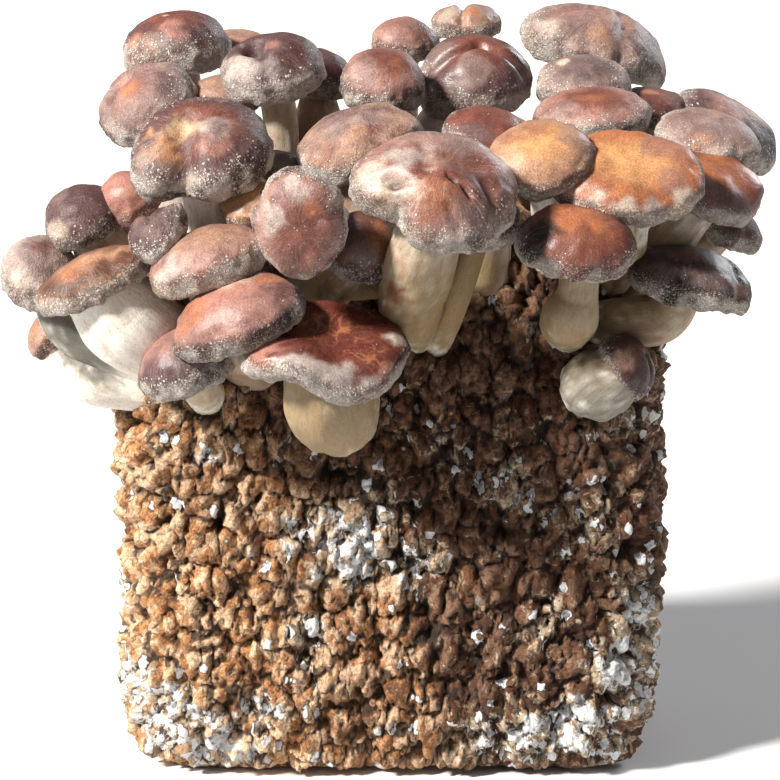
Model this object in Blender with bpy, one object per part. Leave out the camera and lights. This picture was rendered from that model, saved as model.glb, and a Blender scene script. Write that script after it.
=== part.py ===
"""Shiitake log: a pressed sawdust block with a crowd of shiitake mushrooms on it.

Lengths below are millimetres and are turned into metres where the meshes are made. +Z is up, the
origin is the middle of the block's flat base, X is its width and -Y its front.
"""
from dataclasses import dataclass
from math import cos, exp, pi, radians, sin, sqrt

import bmesh
import bpy
from mathutils import Matrix, Vector, noise

MM = 0.001

# The block, cast in a bag.
BLOCK_WIDTH = 195.0
BLOCK_DEPTH = 128.0
BLOCK_HEIGHT = 190.0
BLOCK_DOME = 15.0
BLOCK_CORNER = 30.0
BLOCK_CORNER_LEAST = 6.0
BLOCK_COLUMNS = 40
BLOCK_LUMP = 15.0
BLOCK_LUMP_RISE = 6.0
BLOCK_LUMP_LEVEL = 0.4
BLOCK_BULGE = 3.0
BLOCK_BULGE_SPAN = 60.0
# Height of each ring of the wall and how far it is drawn in there by the rounded edges.
BLOCK_RINGS = (
    (0.0, 17.0), (3.0, 9.5), (10.0, 4.0), (20.0, 1.0), (31.0, 0.0), (42.0, 0.0), (53.0, 0.0),
    (64.0, 0.0), (75.0, 0.0), (86.0, 0.0), (97.0, 0.0), (109.0, 0.0), (122.0, 0.0), (136.0, 0.5),
    (151.0, 1.5), (167.0, 3.0), (181.0, 9.0), (190.0, 30.0),
)
# Rings of the domed top: share of the last ring's size and share of the dome's rise.
BLOCK_TOP_RINGS = ((0.75, 0.5), (0.4, 0.9))

# Mushrooms.
CLEARANCE = 0.35
# Reach of the rings of a crown, as shares of the cap's radius.
CROWN_REACHES = (0.42, 0.74, 0.93)
# The rim rolls down and in by a share of the half width. Its rings are shares of that roll.
RIM_ROLL = 0.26
RIM_ROLL_MOST = 5.0
RIM_REST = 0.15
UNDER_REACH = 0.88
UNDER_REST = 0.3
# Sides of a cap up to a half width, the smallest first.
CAP_SIDES = ((11.8, 8), (18.0, 10), (24.0, 12), (99.0, 14))
STEM_SIDES = 8
HIDDEN_STEM_SIDES = 5
STEM_STEPS = 2
STEM_ENTERS = 1.0
SMALLEST_EDGE = 0.02
FLAT_ANGLE = 5.0

BLOCK_COLOUR = (0.23, 0.12, 0.055)
CAP_COLOUR = (0.20, 0.075, 0.045)
STEM_COLOUR = (0.78, 0.68, 0.48)


@dataclass
class Mushroom:
    """One mushroom. Angles are degrees, and 0 on a cap is its right side and -90 its front."""

    number: str
    rim: tuple  # middle of the rim
    size: tuple  # half width, half depth and crown height
    lean: float  # of the cap's axis from upright
    heading: float  # way it leans: 0 to the front, 90 to the right
    stem: tuple  # its radius under the cap, then points with a radius down to the block
    stem_shows: bool = False
    flat: float = 2.2  # 2 is a dome, 4 a flat crown
    bend: float = 0.0  # how far the left and right ends hang
    lobes: tuple = ()  # angle, share outward, drop, half angle
    dents: tuple = ()  # x share, y share, depth, share across
    creases: tuple = ()  # x and y shares of both ends, depth, share across


# The front row comes first, because a mushroom behind another is pressed in by it.
MUSHROOMS = (
    Mushroom(
        "22", (15, -112, 217), (26, 22, 15), 44, 12,
        (9.5, (10, -98, 193, 12.0), (7, -84, 176, 11.0), (9, -50, 159, 7.5)), True,
        lobes=((180, 0.08, 1.5, 24), (222, -0.2, 3.0, 20)),
        dents=((-0.62, 0.02, 3.0, 0.16), (0.35, 0.1, 1.5, 0.3))),
    Mushroom(
        "16", (-29, -112, 208), (15.5, 17.5, 10), 95, -8,
        (7, (-27, -85, 200, 7), (-26, -46, 177, 8)), flat=2.6,
        lobes=((-100, 0.08, 0.0, 30), (135, -0.06, 1.0, 30)),
        creases=((-0.7, 0.6, 0.1, -0.5, 1.5, 0.14), (-0.1, 0.8, 0.5, 0.1, 1.5, 0.14))),
    Mushroom(
        "20", (-22, -100, 165), (28, 22, 8), 28, 8,
        (11, (-21, -96, 151, 14.5), (-19, -84, 140, 15.5), (-16, -50, 129, 11)), True,
        flat=3.2,
        lobes=((-112, -0.06, -4.5, 20), (-62, 0.05, 4.0, 30), (-150, 0.05, 1.0, 25), (95, -0.08, 0, 40)),
        dents=((0.1, 0.0, 1.5, 0.5),)),
    Mushroom(
        "18", (-50.5, -100, 175), (23, 15.5, 10), 36, -35,
        (6, (-48, -76, 162, 6), (-46, -50, 152, 7)), bend=2.0,
        lobes=((180, 0.0, 1.5, 40),)),
    Mushroom(
        "39", (61.5, -100, 199), (19, 14, 10), 37, 11,
        (6.3, (62, -95, 182, 6.8), (60, -88, 172, 9.7), (61, -50, 160, 7.5)), True,
        lobes=((-165, 0.04, 2.5, 30),)),
    Mushroom(
        "15", (-61, -90, 192), (20, 14, 9), 29, -43,
        (6, (-57, -72, 181, 6), (-53, -49, 171, 7)), bend=2.0),
    Mushroom(
        "31", (49.5, -86, 225), (17.5, 15, 8.5), 41, -9,
        (4.6, (52, -72, 206, 4.6), (55, -46, 182, 5.4)), True),
    Mushroom(
        "17", (-9, -86, 194), (13.5, 13.5, 12.5), 34, 13,
        (6, (-18, -74, 180, 6.5), (-23, -49, 169, 6.5)), True),
    Mushroom(
        "23", (29, -86, 206), (14.5, 14, 8), 37, 24,
        (6, (21, -79, 176, 5.4), (15, -49, 153, 5)), True),
    Mushroom(
        "36", (78.5, -84, 219), (25, 18, 7.5), 40, 5,
        (5.6, (81, -77, 196, 5), (77, -49, 175, 5.5)), True, flat=3.6,
        lobes=((-150, 0.05, 1.5, 30), (-60, 0.0, 2.5, 25), (-20, 0.03, 0.0, 25)),
        dents=((0.0, -0.1, 1.0, 0.6),)),
    Mushroom(
        "10", (-77, -84, 199), (10, 10, 7.5), 50, -42,
        (4, (-74, -70, 188, 4), (-70, -49, 177, 5)),
        lobes=((60, -0.35, 3.0, 30),)),
    Mushroom(
        "19", (-68, -84, 155), (16.5, 15, 12), 26, -43,
        (6.7, (-64, -74, 146, 6.8), (-63, -49, 135, 6.5)), True,
        lobes=((180, 0.05, 2.0, 40),)),
    Mushroom(
        "41", (78.5, -84, 154.5), (11.5, 11, 8.5), 58, 60,
        (8.5, (71, -81, 148, 12.5), (68, -50, 141, 9.5)), True),
    Mushroom(
        "12", (-100.5, -78, 184), (20, 14, 6.5), 25, -66,
        (10, (-92, -73, 172, 15), (-84, -68, 164, 15.5), (-72, -50, 154, 12)), True,
        bend=1.5, lobes=((15, 0.06, -1.5, 30), (-100, 0.04, 1.5, 40))),
    Mushroom(
        "07", (-62, -72, 226), (23, 20, 13), 40, 0,
        (8.4, (-62, -66, 207, 7.4), (-60, -54, 175, 7.5)), True,
        lobes=((-136, 0.22, 3.0, 25), (-110, -0.2, 1.0, 15)),
        creases=((-0.26, -0.9, -0.24, 0.1, 4.0, 0.2),)),
    Mushroom(
        "14", (-46, -76, 208), (11, 9, 6), 33, -29,
        (4.5, (-44, -66, 196, 4.5), (-42, -54, 175, 5))),
    Mushroom(
        "40", (100.5, -72, 182.5), (21, 14, 10), 19, 34,
        (6.5, (92, -73, 170, 8.6), (80, -68, 167, 8.4), (69, -50, 163, 7)), True,
        lobes=((-20, 0.06, 3.5, 28),)),
    Mushroom(
        "38", (116, -42, 194.5), (13, 12, 8), 25, 60,
        (5, (106, -44, 187, 5), (80, -38, 174, 6)),
        lobes=((-60, -0.12, 0.0, 20),)),
    Mushroom(
        "37", (110, -58, 212), (17, 16, 7), 33, 29,
        (7.6, (96, -58, 194, 8), (80, -48, 168, 8)), True, flat=3.2,
        lobes=((-40, 0.0, 2.0, 25),)),
    Mushroom(
        "13", (-119, -48, 158), (8, 7.5, 6), 66, -73,
        (4.4, (-109, -50, 148, 6.4), (-102, -52, 142, 7.6), (-82, -48, 137, 6)), True),
    Mushroom(
        "11", (-120.5, -52, 180), (13.5, 15, 12.5), 32, 14,
        (3.6, (-112, -54, 160, 3.9), (-84, -48, 143, 4.4)), True),
    Mushroom(
        "08", (-105, -52, 200), (12.8, 12, 10.5), 40, -23,
        (5, (-98, -46, 188, 5), (-80, -36, 170, 5.5))),
    Mushroom(
        "09", (-89, -50, 204.5), (10.5, 10.5, 11.5), 41, -32,
        (4.5, (-84, -40, 192, 4.5), (-78, -34, 173, 5.5))),
    Mushroom(
        "21", (-11, -62, 226), (20.5, 16.5, 11), 31, -31,
        (6, (-11, -56, 206, 6), (-12, -50, 176, 7)),
        lobes=((8, 0.1, 1.0, 22),)),
    Mushroom(
        "30", (33, -58, 229.5), (15.5, 12, 7), 30, 15,
        (5, (32, -52, 208, 5), (30, -46, 176, 6))),
    Mushroom(
        "42", (-36, -56, 217.5), (9, 8, 5), 25, 20,
        (4, (-35, -50, 202, 4), (-34, -44, 176, 5))),
    Mushroom(
        "35", (109, -40, 225), (18.5, 15, 9), 24, 27,
        (6, (97, -36, 205, 6), (84, -32, 174, 7)),
        creases=((-0.6, 0.3, 0.3, 0.1, 1.0, 0.12),)),
    Mushroom(
        "32", (69.5, -38, 234), (20.5, 15, 7), 20, -14,
        (5.5, (67, -35, 212, 5.5), (64, -32, 176, 6.5)), bend=1.5),
    Mushroom(
        "03", (-40.5, -32, 248), (18, 17, 11.5), 25, -16,
        (5.9, (-37, -30, 219, 3.6), (-37, -28, 176, 5)), True,
        dents=((-0.28, 0.12, 7.0, 0.24),)),
    Mushroom(
        "24", (-2.5, -32, 243.5), (15, 14, 11.5), 31, 12,
        (5.5, (-2, -28, 215, 5), (-3, -24, 176, 6))),
    Mushroom(
        "02", (-84.5, -21, 235), (17.5, 16, 11), 46, -38,
        (5.5, (-76, -14, 210, 5.5), (-68, -8, 176, 6.5)),
        lobes=((125, 0.22, 1.0, 45),),
        creases=((-0.8, -0.5, -0.5, 0.3, 3.0, 0.14), (-0.5, 0.3, 0.4, 0.6, 3.0, 0.14))),
    Mushroom(
        "06", (-57, -18, 238.5), (12.5, 11, 6), 15, 0,
        (5, (-55, -16, 212, 5), (-52, -12, 176, 6))),
    Mushroom(
        "29", (68, -14, 241), (16.5, 14, 8.5), 28, 0,
        (6, (66, -10, 212, 6), (62, -6, 176, 6.5))),
    Mushroom(
        "33", (93.5, -12, 233), (13.5, 12, 5.5), 20, 26,
        (4.5, (89, -10, 210, 4.5), (82, -6, 176, 5.5))),
    Mushroom(
        "26", (30, -12, 242.5), (19.5, 18, 15), 28, 8,
        (7, (28, -8, 212, 7), (26, -6, 176, 7.5)),
        creases=((-0.9, -0.35, 0.0, 0.05, 2.5, 0.1), (0.0, 0.05, 0.9, -0.3, 2.5, 0.1))),
    Mushroom(
        "34", (119.5, -8, 225.5), (21, 13.5, 8.5), 38, 52,
        (6, (104, -6, 204, 6), (88, -2, 172, 7)),
        lobes=((-20, 0.05, 3.0, 30),)),
    Mushroom(
        "04", (-25.5, -4, 242), (12, 11, 11), 19, 14,
        (5, (-30, -4, 216, 5), (-32, -2, 176, 5.5)), True),
    Mushroom(
        "01", (-77, 22, 250), (19.5, 18, 13.5), 13, -22,
        (6, (-72, 20, 218, 6), (-66, 17, 176, 7))),
    Mushroom(
        "25", (5.5, 26, 252), (12, 11, 9), 19, 14,
        (5, (4, 24, 218, 5), (3, 20, 176, 6))),
    Mushroom(
        "28", (73.5, 22, 252.5), (25.5, 17, 12), 30, 24,
        (7, (70, 24, 218, 7), (64, 24, 176, 8)), flat=2.4,
        lobes=((-4, 0.16, 8.0, 32),),
        creases=((-0.7, -0.1, -0.1, 0.5, 2.0, 0.12),)),
    Mushroom(
        "05", (-57, 46, 247), (13, 12, 8), 13, 0,
        (5, (-55, 42, 220, 4.5), (-52, 36, 176, 6))),
    Mushroom(
        "27", (28.5, 48, 257), (13, 11, 7), 13, 0,
        (5, (27, 43, 222, 5), (25, 38, 176, 6)),
        creases=((-0.15, -0.8, -0.1, 0.8, 2.5, 0.14),)),
)


def clear_scene():
    for old in list(bpy.data.objects):
        bpy.data.objects.remove(old, do_unlink=True)


def make_material(name, colour, roughness):
    material = bpy.data.materials.new(name)
    material.use_nodes = True
    shader = material.node_tree.nodes["Principled BSDF"]
    shader.inputs["Base Color"].default_value = (*colour, 1.0)
    shader.inputs["Roughness"].default_value = roughness
    shader.inputs["Metallic"].default_value = 0.0
    return material


def make_object(name, builder):
    """An object with the mesh that a bmesh builder holds, shaded smooth."""
    mesh = bpy.data.meshes.new(name)
    builder.to_mesh(mesh)
    builder.free()
    mesh.shade_smooth()
    piece = bpy.data.objects.new(name, mesh)
    bpy.context.scene.collection.objects.link(piece)
    return piece


def closed_loft(rings, start=None, end=None):
    """A closed bmesh through rings of points, each end a pole point or a flat face."""
    builder = bmesh.new()
    rows = [[builder.verts.new(point * MM) for point in ring] for ring in rings]
    count = len(rows[0])
    for low, high in zip(rows, rows[1:]):
        for i in range(count):
            j = (i + 1) % count
            builder.faces.new((low[i], low[j], high[j], high[i]))
    for pole, row in ((start, rows[0]), (end, rows[-1])):
        if pole is None:
            builder.faces.new(row)
            continue
        tip = builder.verts.new(pole * MM)
        for i in range(count):
            builder.faces.new((row[i], row[(i + 1) % count], tip))
    bmesh.ops.triangulate(builder, faces=builder.faces)
    bmesh.ops.recalc_face_normals(builder, faces=builder.faces)
    return builder


def rounded_outline(half_width, half_depth, corner, turn):
    """Point of a rounded rectangle, with its outward way, for a turn of 0 to 1 round it."""
    straight_x = half_width - corner
    straight_y = half_depth - corner
    arc = corner * pi / 2
    total = 4 * (straight_x + straight_y + arc)
    left = turn * total
    # Each quarter has half of the right side, a corner and half of the far side.
    for quarter in range(4):
        along_first, along_second = (straight_y, straight_x) if quarter % 2 == 0 else (straight_x, straight_y)
        length = along_first + arc + along_second
        if left > length:
            left -= length
            continue
        if left <= along_first:
            point, way = Vector((along_second + corner, left, 0)), Vector((1, 0, 0))
        elif left <= along_first + arc:
            angle = (left - along_first) / corner
            way = Vector((cos(angle), sin(angle), 0))
            point = Vector((along_second, along_first, 0)) + way * corner
        else:
            rest = left - along_first - arc
            point, way = Vector((along_second - rest, along_first + corner, 0)), Vector((0, 1, 0))
        spin = Matrix.Rotation(quarter * pi / 2, 3, "Z")
        return spin @ point, spin @ way
    return Vector((half_width, 0, 0)), Vector((1, 0, 0))


def crust_rise(point):
    """How far the lumps and the slow bulges of the crust stand out at a point."""
    distances = noise.voronoi(point / BLOCK_LUMP)[0]
    lump = min(1.0, distances[1] - distances[0]) - BLOCK_LUMP_LEVEL
    return BLOCK_LUMP_RISE * lump + BLOCK_BULGE * noise.noise(point / BLOCK_BULGE_SPAN)


def make_block(material):
    rings = []
    for height, inset in BLOCK_RINGS:
        ring = []
        for column in range(BLOCK_COLUMNS):
            corner = max(BLOCK_CORNER - inset, BLOCK_CORNER_LEAST)
            point, way = rounded_outline(
                BLOCK_WIDTH / 2 - inset, BLOCK_DEPTH / 2 - inset, corner, column / BLOCK_COLUMNS)
            point.z = height
            rise = crust_rise(point)
            if height == BLOCK_HEIGHT:
                point.z += rise
            elif height > 0:
                point += way * rise
            ring.append(point)
        rings.append(ring)
    edge = rings[-1]
    for share, rise in BLOCK_TOP_RINGS:
        ring = [Vector((p.x * share, p.y * share, BLOCK_HEIGHT + BLOCK_DOME * rise)) for p in edge]
        rings.append([p + Vector((0, 0, crust_rise(p))) for p in ring])
    top = Vector((0, 0, BLOCK_HEIGHT + BLOCK_DOME))
    block = make_object("sawdust_block", closed_loft(rings, end=top))
    block.data.materials.append(material)
    return block


def bell(offset, width):
    return exp(-((offset / width) ** 2))


def angle_between(first, second):
    return abs((first - second + 180.0) % 360.0 - 180.0)


def crease_depth(mushroom, x, y):
    """Depth of the dents and the creases at shares x and y of the cap's half sizes."""
    depth = 0.0
    for dent_x, dent_y, deep, across in mushroom.dents:
        depth += deep * bell(sqrt((x - dent_x) ** 2 + (y - dent_y) ** 2), across)
    for x0, y0, x1, y1, deep, across in mushroom.creases:
        run_x, run_y = x1 - x0, y1 - y0
        along = ((x - x0) * run_x + (y - y0) * run_y) / (run_x**2 + run_y**2)
        along = min(1.0, max(0.0, along))
        away = sqrt((x - x0 - along * run_x) ** 2 + (y - y0 - along * run_y) ** 2)
        depth += deep * bell(away, across)
    return depth


def cap_point(mushroom, angle, reach, level, crown):
    """Point of a cap in its own frame, at a share reach of its radius and a height level."""
    half_width, half_depth, _ = mushroom.size
    outward, drop = 1.0, 0.0
    for lobe_angle, share, down, half_angle in mushroom.lobes:
        strength = bell(angle_between(angle, lobe_angle), half_angle)
        outward += share * strength * reach
        drop += down * strength * reach**2
    turn = radians(angle)
    x, y = reach * cos(turn), reach * sin(turn)
    height = level - drop - mushroom.bend * x**2
    if crown:
        height -= crease_depth(mushroom, x, y)
    return Vector((half_width * x * outward, half_depth * y * outward, height))


def cap_frame(mushroom):
    heading = radians(mushroom.heading)
    hinge = Vector((cos(heading), sin(heading), 0))
    return Matrix.Rotation(radians(mushroom.lean), 3, hinge)


def make_cap(mushroom, name):
    """A domed crown, a rolled-in rim and a shallow hollow under it."""
    half_width, _, crown = mushroom.size
    sides = next(count for most, count in CAP_SIDES if half_width < most)
    roll = min(RIM_ROLL_MOST, RIM_ROLL * half_width)
    dome = mushroom.flat
    levels = [(reach, crown * (1 - reach**dome) ** 0.5, True) for reach in CROWN_REACHES]
    levels += [(1.0, -RIM_REST * roll, False), (UNDER_REACH, -roll, False)]
    turn = cap_frame(mushroom)
    centre = Vector(mushroom.rim)

    def place(angle, reach, level, on_crown):
        return centre + turn @ cap_point(mushroom, angle, reach, level, on_crown)

    rings = []
    for reach, level, on_crown in levels:
        rings.append([place(360 * i / sides, reach, level, on_crown) for i in range(sides)])
    top = place(0, 0, crown, True)
    under = place(0, 0, -UNDER_REST * roll, False)
    return make_object(name, closed_loft(rings, start=top, end=under))


def smooth_path(points, steps):
    """A smooth run through the stem's points, with the radius as a fourth number."""
    points = [Vector(p) for p in points]
    ends = [points[0] * 2 - points[1]] + points + [points[-1] * 2 - points[-2]]
    path = []
    for i in range(1, len(ends) - 2):
        before, here, there, after = ends[i - 1:i + 3]
        for step in range(steps):
            t = step / steps
            path.append(0.5 * (
                here * 2 + (there - before) * t
                + (before * 2 - here * 5 + there * 4 - after) * t**2
                + (here * 3 - before - there * 3 + after) * t**3))
    path.append(points[-1])
    return path


def make_stem(mushroom, name):
    """A round stem along its path, its foot run a little way into the block."""
    steps = STEM_STEPS if mushroom.stem_shows else 1
    sides = STEM_SIDES if mushroom.stem_shows else HIDDEN_STEM_SIDES
    top = Vector(mushroom.rim) + cap_frame(mushroom) @ Vector((0, 0, STEM_ENTERS))
    path = smooth_path([(*top, mushroom.stem[0])] + list(mushroom.stem[1:]), steps)
    rings = []
    for i, point in enumerate(path):
        ahead = path[min(i + 1, len(path) - 1)].to_3d() - path[max(i - 1, 0)].to_3d()
        ahead.normalize()
        across = ahead.cross(Vector((0, 1, 0.3))).normalized()
        away = ahead.cross(across)
        ring = []
        for side in range(sides):
            angle = 2 * pi * side / sides
            ring.append(point.to_3d() + (across * cos(angle) + away * sin(angle)) * point.w)
        rings.append(ring)
    return make_object(name, closed_loft(rings))


def box_of(piece):
    corners = [v.co for v in piece.data.vertices]
    low = Vector([min(c[i] for c in corners) for i in range(3)])
    high = Vector([max(c[i] for c in corners) for i in range(3)])
    return low, high


def boxes_meet(first, second):
    return all(first[0][i] <= second[1][i] and second[0][i] <= first[1][i] for i in range(3))


def grown_copy(piece):
    """A hidden cutter: the piece with its skin moved out by the clearance."""
    builder = bmesh.new()
    builder.from_mesh(piece.data)
    builder.normal_update()
    moves = [v.normal * min(v.calc_shell_factor(), 2.0) for v in builder.verts]
    for vertex, move in zip(builder.verts, moves):
        vertex.co += move * CLEARANCE * MM
    cutter = make_object(piece.name + "_cutter", builder)
    cutter.hide_render = True
    cutter.display_type = "WIRE"
    return cutter


def is_closed(builder):
    return len(builder.faces) > 3 and all(edge.is_manifold for edge in builder.edges)


def boolean_result(piece, other, operation, solver):
    """What is left of a piece once the other is cut from it or joined to it, as a bmesh."""
    cut = piece.modifiers.new(other.name, "BOOLEAN")
    cut.operation = operation
    cut.solver = solver
    cut.object = other
    graph = bpy.context.evaluated_depsgraph_get()
    result = bpy.data.meshes.new_from_object(piece.evaluated_get(graph))
    piece.modifiers.clear()
    builder = bmesh.new()
    builder.from_mesh(result)
    bpy.data.meshes.remove(result)
    bmesh.ops.triangulate(builder, faces=builder.faces)
    keep_largest_body(builder)
    return builder


def apply_boolean(piece, other, operation):
    """Cut the other from a piece or join it on, with the second solver where the first one fails."""
    for solver in ("EXACT", "MANIFOLD"):
        builder = boolean_result(piece, other, operation, solver)
        if is_closed(builder):
            break
        builder.free()
    else:
        raise ValueError(f"{piece.name} can't be cut by {other.name}")
    rough = builder.copy()
    bmesh.ops.remove_doubles(builder, verts=builder.verts, dist=SMALLEST_EDGE * MM)
    bmesh.ops.dissolve_degenerate(builder, dist=SMALLEST_EDGE * MM, edges=builder.edges)
    (builder if is_closed(builder) else rough).to_mesh(piece.data)
    builder.free()
    rough.free()
    piece.data.shade_smooth()


def keep_largest_body(builder):
    bodies, seen = [], set()
    for vertex in builder.verts:
        if vertex in seen:
            continue
        body, front = [], [vertex]
        seen.add(vertex)
        while front:
            here = front.pop()
            body.append(here)
            for edge in here.link_edges:
                other = edge.other_vert(here)
                if other not in seen:
                    seen.add(other)
                    front.append(other)
        bodies.append(body)
    if len(bodies) > 1:
        bodies.sort(key=len)
        spare = [vertex for body in bodies[:-1] for vertex in body]
        bmesh.ops.delete(builder, geom=spare, context="VERTS")


def merge_flat_faces(piece):
    """Join the slivers that cutting left in flat faces."""
    builder = bmesh.new()
    builder.from_mesh(piece.data)
    bmesh.ops.dissolve_limit(
        builder, angle_limit=radians(FLAT_ANGLE), verts=builder.verts, edges=builder.edges)
    bmesh.ops.triangulate(builder, faces=builder.faces)
    if is_closed(builder):
        builder.to_mesh(piece.data)
        piece.data.shade_smooth()
    builder.free()


def cut_by(piece, cutters):
    own_box = box_of(piece)
    for cutter in cutters:
        if boxes_meet(own_box, box_of(cutter)):
            apply_boolean(piece, cutter, "DIFFERENCE")
    merge_flat_faces(piece)


def make_mushroom(mushroom, cutters, cap_material, stem_material):
    """The cap and the stem of a mushroom, cut clear of all that was made before them."""
    number = mushroom.number
    cap = make_cap(mushroom, "cap_" + number)
    stem = make_stem(mushroom, "stem_" + number)
    cap.data.materials.append(cap_material)
    stem.data.materials.append(stem_material)
    cap_cutter, stem_cutter = grown_copy(cap), grown_copy(stem)
    if mushroom.stem_shows:
        cut_by(cap, cutters)
        cut_by(stem, cutters + [cap_cutter])
    else:
        apply_boolean(cap, stem, "UNION")
        bpy.data.objects.remove(stem, do_unlink=True)
        cap.name = "mushroom_" + number
        cap.data.name = cap.name
        cut_by(cap, cutters)
    return [cap_cutter, stem_cutter]


def main():
    clear_scene()
    block = make_block(make_material("sawdust", BLOCK_COLOUR, 0.95))
    cap_material = make_material("cap skin", CAP_COLOUR, 0.55)
    stem_material = make_material("stem flesh", STEM_COLOUR, 0.7)
    cutters = [grown_copy(block)]
    for mushroom in MUSHROOMS:
        cutters += make_mushroom(mushroom, cutters, cap_material, stem_material)
    for cutter in cutters:
        bpy.data.objects.remove(cutter, do_unlink=True)


main()
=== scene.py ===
"""Shiitake log: the finished look of a sawdust block with a crowd of shiitake mushrooms on it."""
from dataclasses import dataclass
from math import cos, pi, radians, sin, sqrt

import bpy
import numpy as np
from bpy.props import FloatProperty, FloatVectorProperty, IntProperty, PointerProperty
from mathutils import Matrix, Vector


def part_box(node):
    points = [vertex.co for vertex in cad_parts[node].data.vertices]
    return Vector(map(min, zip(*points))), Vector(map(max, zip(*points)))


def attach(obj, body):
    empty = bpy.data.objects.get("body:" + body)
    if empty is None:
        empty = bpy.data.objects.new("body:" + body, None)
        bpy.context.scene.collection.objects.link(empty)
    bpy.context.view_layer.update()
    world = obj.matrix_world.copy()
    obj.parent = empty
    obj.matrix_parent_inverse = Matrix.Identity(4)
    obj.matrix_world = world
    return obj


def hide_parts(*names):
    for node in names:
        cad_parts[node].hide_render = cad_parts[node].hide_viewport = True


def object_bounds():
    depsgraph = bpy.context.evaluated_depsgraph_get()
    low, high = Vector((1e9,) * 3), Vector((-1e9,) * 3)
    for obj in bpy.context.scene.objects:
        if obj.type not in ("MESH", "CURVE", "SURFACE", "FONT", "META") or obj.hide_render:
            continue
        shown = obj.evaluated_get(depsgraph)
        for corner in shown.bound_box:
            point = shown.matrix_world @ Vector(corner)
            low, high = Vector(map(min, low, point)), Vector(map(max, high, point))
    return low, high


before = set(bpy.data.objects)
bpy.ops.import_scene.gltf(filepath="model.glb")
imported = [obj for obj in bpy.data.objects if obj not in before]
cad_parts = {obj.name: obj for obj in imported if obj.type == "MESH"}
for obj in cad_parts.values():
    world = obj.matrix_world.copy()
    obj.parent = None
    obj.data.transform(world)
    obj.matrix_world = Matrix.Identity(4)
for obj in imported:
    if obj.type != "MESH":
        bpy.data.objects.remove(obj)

bl_info = {
    "name": "Shiitake Log",
    "version": (1, 0, 0),
    "blender": (4, 5, 0),
    "location": "View3D > Sidebar > Shiitake Log",
    "description": "Makes a sawdust block with shiitake mushrooms growing on it",
    "category": "Add Mesh",
}

MM = 0.001
FULL_LIGHT = 0.62
STEM_LIGHT = 1.52  # stems are paler than anything that the sun strikes in full
CAD_BOX = [list(corner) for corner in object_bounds()]

# The block. Lengths in this file are millimetres unless a property says otherwise.
BLOCK_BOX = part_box("sawdust_block")
BLOCK_WIDTH = 195.0
BLOCK_DEPTH = 128.0
BLOCK_HEIGHT = 190.0
BLOCK_DOME = 15.0
BLOCK_CORNER = 30.0
BLOCK_CORNER_LEAST = 6.0
# Height of a ring of the wall and how far it is drawn in there by the rounded edges.
BLOCK_RINGS = (
    (0.0, 17.0), (1.0, 13.0), (3.0, 9.5), (6.0, 6.5), (10.0, 4.0), (15.0, 2.2), (20.0, 1.0),
    (31.0, 0.2), (60.0, 0.0), (122.0, 0.0), (136.0, 0.5), (151.0, 1.5), (167.0, 3.0), (175.0, 5.5),
    (181.0, 9.0), (186.0, 15.0), (189.0, 22.0), (190.0, 30.0),
)
# Height of the domed top at shares of the last ring's size.
BLOCK_TOP = ((0.0, 15.0), (0.4, 13.5), (0.75, 7.5), (1.0, 0.0))
BLOCK_INSET = 4.0  # leaves room for the lumps and flakes that stand on the crust
BLOCK_COLUMNS = 480
BLOCK_FRONT_SHARE = 0.4  # how much closer the columns are in front than on average
BLOCK_ROWS = 172
BLOCK_TOP_SHARES = (0.95, 0.9, 0.84, 0.77, 0.69, 0.6, 0.5, 0.4, 0.3, 0.2, 0.1)

# Where the crust starts to be dark with painted shade, which stands in for the shadow that the caps cast on it: x at
# each height, on the front.
PAINTED_SHADE_HEIGHTS = (0, 15, 37, 66, 96, 110, 130, 190)
PAINTED_SHADE_EDGE = (22, 20, 10, 4, -7, -32, -46, -75)

# Patches of white threads on the crust: middle x, y and z, radius and strength.
WHITE_PATCHES = (
    (-14, -66, 84, 16, 0.9), (-32, -66, 92, 9, 0.8), (8, -66, 80, 12, 0.6), (-2, -66, 96, 12, 0.5),
    (-80, -60, 20, 17, 0.85), (-62, -64, 10, 15, 0.9), (-92, -50, 34, 12, 0.8), (-45, -66, 24, 9, 0.7),
    (-97, -34, 62, 9, 0.9), (-28, -66, 52, 8, 0.8), (88, -56, 62, 13, 0.7), (80, -62, 40, 12, 0.95),
    (92, -44, 44, 12, 0.8), (88, -52, 26, 10, 0.7), (50, -66, 18, 14, 0.75), (66, -64, 22, 12, 0.9),
    (32, -66, 12, 12, 0.8), (78, -58, 10, 12, 0.7), (40, -66, 110, 10, 0.45), (70, -62, 96, 14, 0.4),
    (52, -66, 58, 10, 0.5), (20, -66, 120, 9, 0.4), (84, -56, 130, 10, 0.5), (-64, -64, 118, 6, 0.6),
    (30, 66, 60, 26, 0.6), (-50, 66, 120, 22, 0.5), (60, 66, 150, 20, 0.4), (-70, 62, 30, 22, 0.8),
    (98, 10, 80, 20, 0.5), (-98, 20, 120, 18, 0.5), (-98, 30, 30, 20, 0.7), (98, 30, 24, 18, 0.7),
)

# Cap and stem shape shared by all mushrooms.
RIM_ROLL = 0.26
RIM_ROLL_MOST = 5.0
RIM_REST = 0.15
LIP_WIDTH = 0.1
STEM_ENTERS = 1.0
HIDDEN_STEM_SWELL = 2.0
CROWN_ROWS = 27
LIP_ROWS = 12
UNDER_ROWS = 5

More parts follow.
